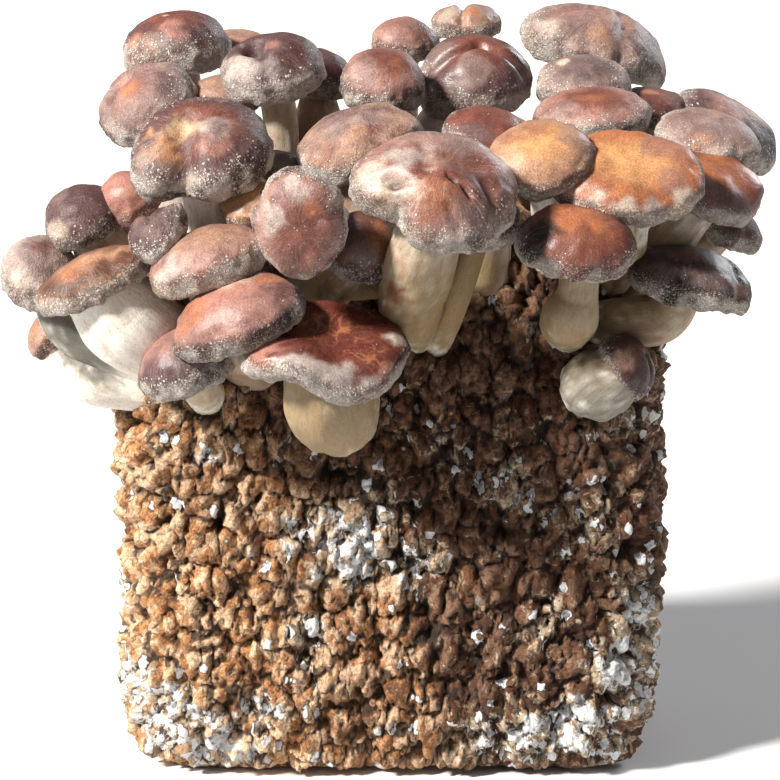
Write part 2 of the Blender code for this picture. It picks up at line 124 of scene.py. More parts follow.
# Colours as seen in daylight, red, green and blue from 0 to 255.
PALETTE = {
    "orange": (206, 130, 86), "amber": (240, 178, 120), "tan": (206, 158, 124),
    "salmon": (208, 150, 134), "pink": (182, 136, 124), "red_brown": (142, 84, 70),
    "dark_red": (86, 40, 34), "plum": (108, 76, 76), "grey_pink": (172, 146, 138),
    "grey": (128, 108, 106), "black": (46, 34, 34), "cream": (238, 224, 204),
    "pale": (222, 208, 198), "brown": (120, 80, 62), "fawn": (190, 152, 130),
    "stem": (255, 252, 245), "stem_shade": (236, 214, 180), "stain": (150, 84, 56),
    # stem_in_shade is painted shade for stems under the caps; ash_and_shade is a grey partly in painted shade.
    "gill": (226, 200, 164), "stem_in_shade": (184, 154, 108), "ash_and_shade": (134, 132, 124), "wine": (118, 60, 50), "maroon": (60, 30, 22), "peach_highlight": (255, 228, 184),
}


@dataclass
class Mushroom:
    """One mushroom. Angles are degrees, and 0 on a cap is its right side and -90 its front."""

    number: str
    rim: tuple  # middle of the rim
    size: tuple  # half width, half depth and crown height
    lean: float  # of the cap's axis from upright
    heading: float  # way it leans: 0 to the front, 90 to the right
    stem: tuple  # its radius under the cap, then points with a radius down to the block
    stem_shows: bool = False
    flat: float = 2.2  # 2 is a dome, 4 a flat crown
    bend: float = 0.0  # how far the left and right ends hang
    lobes: tuple = ()  # angle, share outward, drop, half angle
    dents: tuple = ()  # x share, y share, depth, share across
    creases: tuple = ()  # x and y shares of both ends, depth, share across
    tones: tuple = ("red_brown", "pink", "grey_pink", "cream")  # middle, half way, edge and rim
    flecks: tuple = (0.5, 0.45)  # how many pale flecks, and the share of the radius where they start
    gloss: float = 0.5
    band: float = 1.14  # where the rim's colour starts: 1 is the edge and 1.5 half way round the lip
    # Dark patches on the right sides of the caps and pale ones on their left sides are partly painted shade and painted
    # light from the left.
    patches: tuple = ()  # x share, y share, share across, colour, strength
    cracks: tuple = ()  # x share, y share, share across
    streaks: float = 0.3
    swell: float = 1.0  # of the stem


MUSHROOMS = (
    Mushroom(
        "22", (15, -112, 217), (26, 22, 15), 44, 12,
        (9.5, (10, -98, 193, 12.0), (7, -84, 176, 11.0), (9, -50, 159, 7.5)), True,
        lobes=((180, 0.08, 1.5, 24), (230, -0.28, -1.0, 22)),
        dents=((-0.6, -0.32, 3.5, 0.14), (0.35, 0.1, 1.5, 0.3)),
        creases=(
            (0.06, -0.18, 0.16, -0.25, 1.6, 0.035), (0.26, -0.3, 0.35, -0.42, 1.6, 0.035), (0.55, -0.1, 0.75, -0.6, 2.0, 0.1), (0.12, -0.62, 0.3, -0.95, 1.6, 0.07), (-0.3, 0.5, -0.2, -0.1, 1.2, 0.1)),
        tones=("red_brown", "pink", "fawn", "cream"), flecks=(0.75, 0.5), gloss=0.62, band=0.97, streaks=0.6,
        patches=(
            (-0.78, -0.3, 0.5, "cream", 0.95), (-0.45, 0.1, 0.3, "pale", 0.8), (-0.6, -0.34, 0.13, "dark_red", 0.85),
            (-0.1, -0.5, 0.34, "orange", 0.55), (0.6, -0.35, 0.4, "dark_red", 0.65), (0.08, -0.2, 0.04, "black", 1),
            (0.15, -0.25, 0.04, "black", 1), (0.28, -0.33, 0.04, "black", 1), (0.33, -0.4, 0.04, "black", 1),
            (0.1, 0.7, 0.6, "grey_pink", 0.7), (0.45, -0.85, 0.4, "grey", 0.6))),
    Mushroom(
        "16", (-29, -112, 208), (15.5, 17.5, 10), 95, -8,
        (7, (-27, -85, 200, 7), (-26, -46, 177, 8)), flat=2.6,
        lobes=((-100, 0.08, 0.0, 30), (135, -0.06, 1.0, 30)),
        creases=((-0.7, 0.6, 0.1, -0.5, 1.5, 0.14), (-0.1, 0.8, 0.5, 0.1, 1.5, 0.14)),
        tones=("red_brown", "pink", "plum", "cream"), flecks=(0.8, 0.35), band=0.92, streaks=0.5,
        patches=(
            (-0.42, 0.2, 0.34, "pale", 0.8), (0.15, 0.65, 0.3, "pale", 0.6), (0.1, -0.35, 0.34, "red_brown", 0.8),
            (0.75, 0.2, 0.3, "dark_red", 0.7), (0.35, 0.3, 0.2, "orange", 0.5), (-0.3, -0.7, 0.3, "brown", 0.6))),
    Mushroom(
        "20", (-22, -100, 165), (28, 22, 8), 28, 8,
        (11, (-21, -96, 151, 14.5), (-19, -84, 140, 15.5), (-16, -50, 129, 11)), True,
        flat=3.2,
        lobes=((-112, -0.06, -4.5, 20), (-62, 0.05, 4.0, 30), (-150, 0.05, 1.0, 25), (95, -0.08, 0, 40)),
        dents=((0.1, 0.05, 4.0, 0.5), (-0.35, -0.75, 1.5, 0.16)),
        tones=("wine", "wine", "dark_red", "pale"), flecks=(0.7, 0.85), gloss=0.95, band=0.88,
        streaks=0.2, cracks=((0.12, 0.12, 0.5), (0.5, -0.4, 0.34)),
        patches=(
            (-0.67, -0.5, 0.34, "salmon", 0.9), (0.5, -0.5, 0.26, "red_brown", 0.6), (0.15, 0.1, 0.35, "red_brown", 0.35),
            (0.83, 0.0, 0.12, "pale", 1), (-0.4, -0.85, 0.2, "pale", 0.9), (-0.1, -0.9, 0.22, "pale", 0.95),
            (0.2, -0.86, 0.2, "pale", 0.95), (0.5, -0.82, 0.16, "pale", 0.9), (0.75, -0.6, 0.14, "salmon", 0.8))),
    Mushroom(
        "18", (-50.5, -100, 175), (23, 15.5, 10), 36, -35,
        (6, (-48, -76, 162, 6), (-46, -50, 152, 7)), bend=2.0,
        lobes=((180, 0.0, 1.5, 40),),
        tones=("salmon", "pink", "plum", "cream"), flecks=(0.3, 0.6), gloss=0.6, streaks=0.2,
        patches=(
            (0.15, 0.45, 0.34, "cream", 0.55), (-0.5, 0.0, 0.4, "orange", 0.6), (0.8, -0.2, 0.35, "plum", 0.7),
            (0.1, -0.5, 0.45, "pink", 0.6), (0.6, 0.3, 0.2, "orange", 0.7))),
    Mushroom(
        "39", (61.5, -100, 199), (19, 14, 10), 37, 11,
        (6.3, (62, -95, 182, 6.8), (60, -88, 172, 9.7), (61, -50, 160, 7.5)), True,
        lobes=((-165, 0.04, 2.5, 30),),
        tones=("orange", "red_brown", "red_brown", "cream"), flecks=(0.45, 0.6), gloss=0.7, band=1.25,
        patches=(
            # The black patch over the left side is painted shadow, cast on it by the neighbouring caps.
            (-0.9, -0.2, 0.5, "black", 0.95), (-0.1, 0.3, 0.35, "orange", 0.8), (0.3, -0.5, 0.5, "red_brown", 0.7),
            (0.6, 0.5, 0.4, "plum", 0.6))),
    Mushroom(
        "15", (-61, -90, 192), (20, 14, 9), 29, -43,
        (6, (-57, -72, 181, 6), (-53, -49, 171, 7)), bend=2.0,
        tones=("fawn", "pink", "pink", "cream"), flecks=(0.55, 0.5), gloss=0.5, band=0.95,
        patches=(
            (0.35, 0.0, 0.4, "tan", 0.8), (-0.6, -0.6, 0.4, "pale", 0.85), (-0.1, -0.5, 0.3, "pink", 0.7),
            (0.7, -0.3, 0.4, "fawn", 0.8), (0.0, 0.6, 0.3, "orange", 0.6))),
    Mushroom(
        "31", (49.5, -86, 225), (17.5, 15, 8.5), 41, -9,
        (4.6, (52, -72, 206, 4.6), (55, -46, 182, 5.4)), True,
        tones=("amber", "tan", "fawn", "brown"), flecks=(0.4, 0.75), gloss=0.6, band=1.25,
        patches=(
            (-0.08, -0.1, 0.24, "amber", 0.9), (-0.5, 0.2, 0.3, "red_brown", 0.5), (0.0, 0.3, 0.3, "red_brown", 0.4),
            (0.7, 0.1, 0.4, "fawn", 0.8))),
    Mushroom(
        "17", (-9, -86, 194), (13.5, 13.5, 12.5), 34, 13,
        (6, (-18, -74, 180, 6.5), (-23, -49, 169, 6.5)), True,
        tones=("brown", "brown", "plum", "pale"), flecks=(0.6, 0.4), gloss=0.6,
        patches=(
            (-0.5, -0.2, 0.5, "plum", 0.8), (0.35, -0.3, 0.4, "orange", 0.6), (-0.06, -0.95, 0.4, "grey", 0.9))),
    Mushroom(
        "23", (29, -86, 206), (14.5, 14, 8), 37, 24,
        (6, (21, -79, 176, 5.4), (15, -49, 153, 5)), True,
        tones=("plum", "plum", "grey", "pale"), flecks=(0.7, 0.3)),
    Mushroom(
        "36", (78.5, -84, 219), (25, 18, 7.5), 40, 5,
        (5.6, (81, -77, 196, 5), (77, -49, 175, 5.5)), True, flat=3.6,
        lobes=((-150, 0.05, 1.5, 30), (-60, 0.0, 2.5, 25), (-20, 0.03, 0.0, 25)),
        dents=((0.0, -0.1, 1.0, 0.6),),
        tones=("amber", "orange", "pink", "cream"), flecks=(0.35, 0.75), gloss=0.7, band=0.88, streaks=0.2,
        patches=(
            (-0.2, -0.1, 0.2, "red_brown", 0.35), (0.1, -0.1, 0.35, "amber", 0.8), (0.55, -0.4, 0.3, "pink", 0.7),
            (-0.5, -0.5, 0.3, "red_brown", 0.5), (0.5, 0.5, 0.4, "pink", 0.6), (-0.8, -0.5, 0.17, "cream", 0.8),
            (-0.5, -0.82, 0.17, "cream", 0.9), (-0.1, -0.95, 0.17, "cream", 0.9), (0.35, -0.92, 0.17, "pale", 0.9),
            (0.75, -0.65, 0.17, "cream", 0.8))),
    Mushroom(
        "10", (-77, -84, 199), (10, 10, 7.5), 50, -42,
        (4, (-74, -70, 188, 4), (-70, -49, 177, 5)),
        lobes=((80, -0.3, 3.0, 16), (28, 0.24, -1.5, 26)),
        creases=((0.75, 0.7, 0.1, 0.1, 2.2, 0.2),),
        tones=("grey", "plum", "grey", "pale"), flecks=(0.85, 0.2), gloss=0.3,
        # The dark red patch on the right is painted shade.
        patches=((0.5, 0.4, 0.35, "dark_red", 0.8), (-0.2, 0.3, 0.3, "pink", 0.5))),
    Mushroom(
        "19", (-68, -84, 155), (16.5, 15, 12), 26, -43,
        (6.7, (-64, -74, 146, 6.8), (-63, -49, 135, 6.5)), True,
        lobes=((180, 0.05, 2.0, 40),),
        tones=("pink", "plum", "plum", "pale"), flecks=(0.5, 0.5), gloss=0.6, streaks=0.5,
        patches=((-0.6, 0.0, 0.35, "pink", 0.8), (0.0, 0.5, 0.4, "salmon", 0.5), (0.3, -0.9, 0.4, "grey", 0.8))),
    Mushroom(
        "41", (78.5, -84, 154.5), (11.5, 11, 8.5), 58, 60,
        (8.5, (71, -81, 148, 12.5), (68, -50, 141, 9.5)), True,
        creases=((0.1, 0.2, 0.7, -0.3, 1.2, 0.12),),
        tones=("brown", "dark_red", "plum", "fawn"), flecks=(0.35, 0.5), gloss=0.5, band=1.0,
        patches=((0.2, -0.3, 0.5, "black", 0.6), (-0.5, -0.6, 0.35, "fawn", 0.6))),
    Mushroom(
        "12", (-100.5, -78, 184), (20, 14, 6.5), 25, -66,
        (10, (-92, -73, 172, 15), (-84, -68, 164, 15.5), (-72, -50, 154, 12)), True,
        bend=1.5, lobes=((15, 0.06, -1.5, 30), (-100, 0.04, 1.5, 40)),
        creases=((0.45, -0.9, 0.5, 0.3, 1.4, 0.12),),
        tones=("tan", "brown", "tan", "cream"), flecks=(0.4, 0.6), gloss=0.5, band=0.8, streaks=0.5,
        patches=(
            (-0.2, -0.3, 0.3, "orange", 0.6), (0.35, -0.5, 0.25, "brown", 0.7), (0.75, 0.1, 0.35, "tan", 0.8),
            (-0.1, 0.3, 0.4, "plum", 0.5))),
    Mushroom(
        "07", (-62, -72, 226), (23, 20, 13), 40, 0,
        (8.4, (-62, -66, 207, 7.4), (-60, -54, 175, 7.5)), True,
        lobes=((-136, 0.22, 3.0, 25), (-110, -0.2, 1.0, 15)),
        creases=((-0.26, -0.9, -0.24, 0.1, 4.0, 0.2),),
        tones=("red_brown", "plum", "grey", "cream"), flecks=(0.8, 0.3), streaks=0.5,
        patches=(
            # The peach patch is partly a painted highlight on the lit left of the cap.
            (-0.3, 0.0, 0.3, "peach_highlight", 0.85), (-0.55, -0.3, 0.3, "amber", 0.8), (0.2, -0.48, 0.32, "salmon", 0.75),
            (0.2, -0.05, 0.26, "pale", 0.6), (-0.85, -0.6, 0.35, "grey_pink", 0.8), (-0.22, -0.9, 0.12, "cream", 0.9),
            (0.75, -0.2, 0.45, "plum", 0.7), (-0.5, -0.75, 0.25, "plum", 0.6))),
    Mushroom(
        "14", (-46, -76, 208), (11, 9, 6), 33, -29,
        (4.5, (-44, -66, 196, 4.5), (-42, -54, 175, 5)),
        tones=("amber", "tan", "tan", "cream"), flecks=(0.25, 0.7), gloss=0.7),
    Mushroom(
        "40", (100.5, -72, 182.5), (21, 14, 10), 19, 34,
        (6.5, (92, -73, 170, 8.6), (80, -68, 167, 8.4), (69, -50, 163, 7)), True,
        lobes=((-20, 0.06, 3.5, 28),),
        creases=((0.75, -0.6, 0.6, 0.2, 1.2, 0.1),),
        tones=("maroon", "maroon", "maroon", "pale"), flecks=(0.6, 1.05), gloss=0.6, band=1.25,
        patches=(
            (-0.1, -0.2, 0.35, "red_brown", 0.6), (-0.6, -0.75, 0.3, "grey", 0.7), (0.2, -0.9, 0.35, "grey", 0.8),
            (0.8, -0.5, 0.2, "fawn", 0.7))),
    Mushroom(
        "38", (116, -42, 194.5), (13, 12, 8), 25, 60,
        (5, (106, -44, 187, 5), (80, -38, 174, 6)),
        lobes=((-60, -0.12, 0.0, 20),),
        tones=("grey", "plum", "grey", "pale"), flecks=(0.4, 0.4), gloss=0.3),
    Mushroom(
        "37", (110, -58, 212), (17, 16, 7), 33, 29,
        (7.6, (96, -58, 194, 8), (80, -48, 168, 8)), True, flat=3.2,
        lobes=((-40, 0.0, 2.0, 25),),
        tones=("orange", "red_brown", "pink", "pale"), flecks=(0.45, 0.75), gloss=0.7, band=0.95, streaks=0.2,
        patches=((0.2, -0.1, 0.4, "red_brown", 0.5), (-0.4, -0.8, 0.4, "grey", 0.8), (0.4, -0.8, 0.3, "grey", 0.8))),
    Mushroom(
        "13", (-119, -48, 158), (8, 7.5, 6), 66, -73,
        (4.4, (-109, -50, 148, 6.4), (-102, -52, 142, 7.6), (-82, -48, 137, 6)), True,
        tones=("tan", "fawn", "brown", "tan"), flecks=(0.3, 0.4)),
    Mushroom(
        "11", (-120.5, -52, 180), (13.5, 15, 12.5), 32, 14,
        (3.6, (-112, -54, 160, 3.9), (-84, -48, 143, 4.4)), True, swell=1.4,
        tones=("grey_pink", "pale", "grey_pink", "cream"), flecks=(0.6, 0.4), gloss=0.35, streaks=1.0,
        patches=((0.05, 0.05, 0.28, "red_brown", 0.8), (0.3, -0.9, 0.4, "brown", 0.6))),
    Mushroom(
        "08", (-105, -52, 200), (12.8, 12, 10.5), 40, -23,
        (5, (-98, -46, 188, 5), (-80, -36, 170, 5.5)), lobes=((-128, 0.16, 0.8, 24),),
        tones=("plum", "plum", "grey", "cream"), flecks=(0.5, 0.4), gloss=0.5,
        patches=((-0.65, -0.75, 0.4, "cream", 0.75), (-0.4, 0.4, 0.4, "grey_pink", 0.6))),
    Mushroom(
        "09", (-89, -50, 204.5), (10.5, 10.5, 11.5), 41, -32,
        (4.5, (-84, -40, 192, 4.5), (-78, -34, 173, 5.5)),
        tones=("salmon", "salmon", "salmon", "cream"), flecks=(0.25, 0.6), gloss=0.6),
    Mushroom(
        "21", (-11, -62, 226), (20.5, 16.5, 11), 31, -31,
        (6, (-11, -56, 206, 6), (-12, -50, 176, 7)),
        lobes=((8, 0.1, 1.0, 22),),
        dents=((0.35, -0.5, 1.6, 0.2), (-0.45, -0.55, 1.4, 0.25)),
        tones=("grey_pink", "fawn", "grey_pink", "pale"), flecks=(0.75, 0.4), gloss=0.35, band=0.9, streaks=0.5,
        patches=(
            (0.41, -0.39, 0.16, "red_brown", 0.9), (0.33, -0.6, 0.16, "brown", 0.8), (0.1, -0.5, 0.2, "tan", 0.8),
            (-0.45, -0.6, 0.2, "red_brown", 0.6), (0.1, 0.5, 0.4, "plum", 0.6))),
    Mushroom(
        "30", (33, -58, 229.5), (15.5, 12, 7), 30, 15,
        (5, (32, -52, 208, 5), (30, -46, 176, 6)),
        tones=("red_brown", "red_brown", "plum", "pale"), flecks=(0.7, 0.4), gloss=0.7,
        patches=((-0.4, -0.6, 0.45, "grey", 0.8),)),
    Mushroom(
        "42", (-36, -56, 217.5), (9, 8, 5), 25, 20,
        (4, (-35, -50, 202, 4), (-34, -44, 176, 5)),
        tones=("grey", "grey", "plum", "pale"), flecks=(0.5, 0.2)),
    Mushroom(
        "35", (109, -40, 225), (18.5, 15, 9), 24, 27,
        (6, (97, -36, 205, 6), (84, -32, 174, 7)),
        creases=((-0.6, 0.3, 0.3, 0.1, 1.0, 0.12),),
        tones=("grey_pink", "grey_pink", "pale", "cream"), flecks=(0.75, 0.25), gloss=0.5,
        patches=((-0.3, -0.85, 0.3, "orange", 0.8), (-0.5, 0.0, 0.3, "brown", 0.4))),
    Mushroom(
        "32", (69.5, -38, 234), (20.5, 15, 7), 20, -14,
        (5.5, (67, -35, 212, 5.5), (64, -32, 176, 6.5)), bend=1.5,
        tones=("red_brown", "pink", "grey", "pale"), flecks=(0.8, 0.3), gloss=0.5,
        patches=((0.0, -0.1, 0.3, "orange", 0.35), (-0.5, -0.4, 0.35, "grey_pink", 0.6), (0.6, -0.2, 0.3, "red_brown", 0.6))),
    Mushroom(
        "03", (-40.5, -32, 248), (18, 17, 11.5), 25, -16,
        (5.9, (-37, -30, 219, 3.6), (-37, -28, 176, 5)), True, swell=1.5,
        dents=((-0.28, 0.0, 8.0, 0.2), (-0.1, -0.9, 1.2, 0.2)),
        creases=((-0.25, -0.15, 0.0, -0.6, 2.2, 0.14),),
        tones=("plum", "plum", "grey_pink", "pale"), flecks=(0.7, 0.3), gloss=0.5,
        patches=(
            # The black patch lies in the deep dent and paints the shade in it; the dark red patch on the right side is
            # partly painted shade.
            (0.08, -0.15, 0.2, "salmon", 0.7), (-0.28, -0.1, 0.2, "black", 0.7), (0.65, -0.4, 0.5, "dark_red", 0.9),
            (-0.6, -0.5, 0.5, "pale", 0.85))),
    Mushroom(
        "24", (-2.5, -32, 243.5), (15, 14, 11.5), 31, 12,
        (5.5, (-2, -28, 215, 5), (-3, -24, 176, 6)), swell=1.4,
        tones=("red_brown", "pink", "plum", "pale"), flecks=(0.55, 0.35), gloss=0.5,
        patches=((0.25, -0.25, 0.3, "orange", 0.5), (-0.6, -0.3, 0.4, "grey_pink", 0.6))),
    Mushroom(
        "02", (-84.5, -21, 235), (17.5, 16, 11), 46, -38,
        (5.5, (-76, -14, 210, 5.5), (-68, -8, 176, 6.5)),
        lobes=((125, 0.22, 1.0, 45),),
        creases=((-0.8, -0.5, -0.5, 0.3, 3.0, 0.14), (-0.5, 0.3, 0.4, 0.6, 3.0, 0.14)),
        tones=("pink", "grey_pink", "plum", "cream"), flecks=(0.7, 0.3), gloss=0.45,
        patches=((-0.05, -0.1, 0.26, "orange", 0.85), (0.7, -0.3, 0.4, "plum", 0.8), (-0.2, 0.8, 0.5, "pink", 0.6))),
    Mushroom(
        "06", (-57, -18, 238.5), (12.5, 11, 6), 15, 0,
        (5, (-55, -16, 212, 5), (-52, -12, 176, 6)), swell=1.6,
        tones=("fawn", "fawn", "grey_pink", "cream"), flecks=(0.4, 0.4), gloss=0.5),
    Mushroom(
        "29", (68, -14, 241), (16.5, 14, 8.5), 28, 0,
        (6, (66, -10, 212, 6), (62, -6, 176, 6.5)),
        tones=("grey", "grey_pink", "grey_pink", "cream"), flecks=(0.8, 0.2), gloss=0.4,
        patches=((-0.4, 0.3, 0.16, "cream", 0.9), (0.6, -0.1, 0.4, "dark_red", 0.5))),
    Mushroom(
        "33", (93.5, -12, 233), (13.5, 12, 5.5), 20, 26,
        (4.5, (89, -10, 210, 4.5), (82, -6, 176, 5.5)),
        tones=("red_brown", "dark_red", "plum", "fawn"), flecks=(0.4, 0.3), gloss=0.5,
        patches=((-0.2, 0.1, 0.2, "tan", 0.7),)),
    Mushroom(
        "26", (30, -12, 242.5), (19.5, 18, 15), 28, 8,
        (7, (21, -8, 214, 7), (20, -6, 176, 7.5)), swell=1.15, lobes=((-150, 0.06, 5.0, 28),),
        creases=((-0.9, -0.35, 0.0, 0.05, 2.5, 0.1), (0.0, 0.05, 0.9, -0.3, 2.5, 0.1)),
        tones=("red_brown", "plum", "grey_pink", "cream"), flecks=(0.6, 0.5), gloss=0.7,
        patches=(
            (0.3, 0.15, 0.3, "red_brown", 0.55), (-0.6, 0.1, 0.4, "grey_pink", 0.6), (-0.1, -0.55, 0.4, "grey_pink", 0.7),
            (0.8, 0.2, 0.3, "dark_red", 0.7), (0.1, -0.2, 0.2, "red_brown", 0.6))),
    Mushroom(
        "34", (119.5, -8, 225.5), (21, 13.5, 8.5), 38, 52,
        (6, (104, -6, 204, 6), (88, -2, 172, 7)),
        lobes=((-20, 0.05, 3.0, 30),),
        tones=("pink", "plum", "plum", "grey"), flecks=(0.7, 0.25), gloss=0.5,
        patches=((0.6, -0.4, 0.5, "black", 0.8),)),
    Mushroom(
        "04", (-25.5, -4, 242), (12, 11, 11), 19, 14,
        (5, (-26, -4, 216, 5.2), (-28, -2, 176, 5.5)), True, swell=1.9,
        tones=("plum", "dark_red", "black", "fawn"), flecks=(0.5, 0.3), gloss=0.5),
    Mushroom(
        "01", (-77, 22, 250), (19.5, 18, 13.5), 13, -22,
        (6, (-72, 20, 218, 6), (-66, 17, 176, 7)),
        tones=("red_brown", "plum", "grey_pink", "pale"), flecks=(0.85, 0.35), gloss=0.5,
        patches=(
            (0.0, -0.45, 0.28, "salmon", 0.75), (-0.14, -0.05, 0.09, "cream", 1), (-0.85, -0.5, 0.22, "orange", 0.7),
            (-0.45, -0.75, 0.2, "tan", 0.6))),
    Mushroom(
        "25", (5.5, 26, 252), (12, 11, 9), 19, 14,
        (5, (4, 24, 218, 5), (3, 20, 176, 6)),
        tones=("pink", "pink", "fawn", "cream"), flecks=(0.3, 0.5), gloss=0.6,
        patches=((0.6, -0.4, 0.4, "plum", 0.8),)),
    Mushroom(
        "28", (73.5, 22, 252.5), (25.5, 17, 12), 30, 24,
        (7, (70, 24, 218, 7), (64, 24, 176, 8)), flat=2.4,
        lobes=((-4, 0.16, 8.0, 32),),
        creases=((-0.7, -0.1, -0.1, 0.5, 2.0, 0.12), (0.3, 0.5, 0.35, -0.8, 2.2, 0.12)),
        tones=("pink", "grey_pink", "grey_pink", "pale"), flecks=(0.55, 0.3), gloss=0.5, streaks=0.7,
        patches=(
            (-0.6, -0.6, 0.3, "dark_red", 0.6), (0.0, -0.6, 0.25, "tan", 0.7), (0.7, -0.4, 0.4, "grey", 0.8),
            (-0.8, -0.4, 0.3, "cream", 0.6), (-0.3, -0.2, 0.3, "grey_pink", 0.6))),
    Mushroom(
        "05", (-57, 46, 247), (13, 12, 8), 13, 0,
        (5, (-55, 42, 220, 4.5), (-52, 36, 176, 6)),
        tones=("fawn", "pink", "fawn", "cream"), flecks=(0.3, 0.4)),
    Mushroom(
        "27", (28.5, 48, 257), (13, 11, 7), 13, 0,
        (5, (27, 43, 222, 5), (25, 38, 176, 6)),
        creases=((-0.15, -0.8, -0.1, 0.8, 2.5, 0.14),),
        tones=("fawn", "fawn", "grey_pink", "cream"), flecks=(0.3, 0.4), gloss=0.6,
        patches=((0.15, -0.45, 0.2, "orange", 0.7), (-0.5, -0.4, 0.4, "cream", 0.6), (0.7, -0.3, 0.3, "grey", 0.7))),
)

# Stains and painted shade on the stems: middle x, y and z, radius, colour and strength. The wide ones, with a radius of
# 12 or more, are painted shade under the caps and in the gaps between them; the narrow ash ones on the left stems are
# partly their grey-brown and partly painted shade; the small ones are stains.
STEM_STAINS = (
    (-21, -98, 142, 30, "stem_in_shade", 0.92), (14, -96, 184, 30, "stem_in_shade", 0.75), (24, -80, 176, 26, "stem_in_shade", 0.95),
    (62, -94, 174, 24, "stem_in_shade", 0.85), (74, -82, 146, 16, "ash_and_shade", 0.9), (88, -72, 168, 22, "stem_in_shade", 0.7),
    (-38, -28, 220, 24, "stem_in_shade", 0.7), (-29, -4, 214, 24, "fawn", 0.9), (-20, -76, 172, 18, "stem_in_shade", 0.8),
    (-113, -58, 165, 8, "ash_and_shade", 0.9), (-106, -60, 156, 8, "ash_and_shade", 0.9), (-97, -62, 149, 7, "ash_and_shade", 0.8),
    (-64, -80, 142, 12, "stem_in_shade", 0.6), (84, -56, 186, 20, "stem_in_shade", 0.6), (98, -52, 190, 20, "stem_in_shade", 0.6),
    (0, -104, 182, 3.5, "stain", 0.9), (14, -98, 186, 3.5, "stain", 0.8), (-4, -94, 176, 3.0, "stain", 0.7),
    (6, -108, 196, 4.0, "tan", 0.6), (-82, -82, 166, 2.5, "stain", 0.8), (-97, -86, 160, 3.0, "fawn", 0.7),
    (62, -88, 158, 2.2, "dark_red", 0.9), (70, -92, 156, 1.8, "brown", 0.8), (80, -76, 170, 1.6, "stain", 0.7),
    (-24, -110, 134, 5.0, "tan", 0.5), (60, -96, 168, 4.0, "tan", 0.4), (84, -80, 164, 6.0, "fawn", 0.5),
)


def linear(colour):
    """A colour of the palette, seen in full light, as the share of light that it gives back."""
    return tuple(FULL_LIGHT * (part / 255) ** 2.2 for part in PALETTE[colour])


def lattice(cell, seed):
    """A number from -1 to 1 for each whole cell."""
    mixed = cell[..., 0] * 374761393 + cell[..., 1] * 668265263 + cell[..., 2] * 1440662683 + seed * 974634777
    mixed = (mixed ^ (mixed >> 13)) * 1274126177
    mixed = mixed ^ (mixed >> 16)
    return (mixed & 0xFFFF) / 32767.5 - 1.0


def soft_noise(points, seed=0):
    """Smooth noise from -1 to 1 at points an array of three columns."""
    cell = np.floor(points).astype(np.int64)
    part = points - cell
    part = part * part * (3 - 2 * part)
    total = np.zeros(points.shape[:-1])
    for corner in range(8):
        step = np.array([corner & 1, corner >> 1 & 1, corner >> 2 & 1])
        share = np.prod(np.where(step, part, 1 - part), axis=-1)
        total += share * lattice(cell + step, seed)
    return total


def rough_noise(points, seed=0):
    return 0.65 * soft_noise(points, seed) + 0.35 * soft_noise(points * 2.3, seed + 1)


def bell(offset, width):
    return np.exp(-((offset / width) ** 2))


def ramp(value, low, high):
    """0 below low, 1 above high and smooth between them."""
    share = np.clip((value - low) / (high - low), 0, 1)
    return share * share * (3 - 2 * share)


class Skin:
    """Points in millimetres, faces and point attributes of a mesh that is being put together."""

    def __init__(self):
        self.points = np.zeros((0, 3))
        self.faces = []
        self.slots = []
        self.values = {}

    def add(self, points, faces, slot=0, **values):
        first = len(self.points)
        self.points = np.vstack([self.points, points])
        self.faces += [tuple(first + i for i in face) for face in faces]
        self.slots += [slot] * len(faces)
        for name in set(values) | set(self.values):
            like = values.get(name, self.values.get(name))
            width = like.shape[1:]
            old = self.values.get(name, np.zeros((first, *width)))
            new = values.get(name, np.zeros((len(points), *width)))
            self.values[name] = np.concatenate([old, new])

    def make(self, name, materials):
        mesh = bpy.data.meshes.new(name)
        mesh.from_pydata((self.points * MM).tolist(), [], self.faces)
        mesh.validate()
        for material in materials:
            mesh.materials.append(material)
        mesh.polygons.foreach_set("material_index", self.slots)
        mesh.polygons.foreach_set("use_smooth", [True] * len(mesh.polygons))
        for key, value in self.values.items():
            if value.ndim == 1:
                mesh.attributes.new(key, "FLOAT", "POINT").data.foreach_set("value", value)
            elif value.shape[1] == 4:
                mesh.attributes.new(key, "FLOAT_COLOR", "POINT").data.foreach_set("color", value.ravel())
            else:
                mesh.attributes.new(key, "FLOAT_VECTOR", "POINT").data.foreach_set("vector", value.ravel())
        mesh.update()
        return link_object(name, mesh)


def link_object(name, mesh):
    made = bpy.data.objects.new(name, mesh)
    bpy.context.scene.collection.objects.link(made)
    return made


def tube_faces(rows, columns):
    """Faces of a closed skin: rows of points round it, then its start and end poles."""
    faces = []
    for row in range(rows - 1):
        for column in range(columns):
            after = (column + 1) % columns
            low, high = row * columns, (row + 1) * columns
            faces.append((low + column, low + after, high + after, high + column))
    start, end = rows * columns, rows * columns + 1
    last = (rows - 1) * columns
    for column in range(columns):
        after = (column + 1) % columns
        faces.append((start, after, column))
        faces.append((end, last + column, last + after))
    return faces


def facing_out(points, faces):
    """The faces, turned over where they enclose a negative volume."""
    volume = 0.0
    for face in faces:
        for i in range(1, len(face) - 1):
            volume += np.dot(points[face[0]], np.cross(points[face[i]], points[face[i + 1]]))
    return faces if volume > 0 else [face[::-1] for face in faces]


def grid_normals(grid):
    """Unit normals of rows of points round a closed skin."""
    along = np.gradient(grid, axis=0)
    wrapped = np.concatenate([grid[:, -1:], grid, grid[:, :1]], axis=1)
    across = (wrapped[:, 2:] - wrapped[:, :-2]) / 2
    normal = np.cross(across, along)
    length = np.linalg.norm(normal, axis=-1, keepdims=True)
    return normal / np.maximum(length, 1e-9)


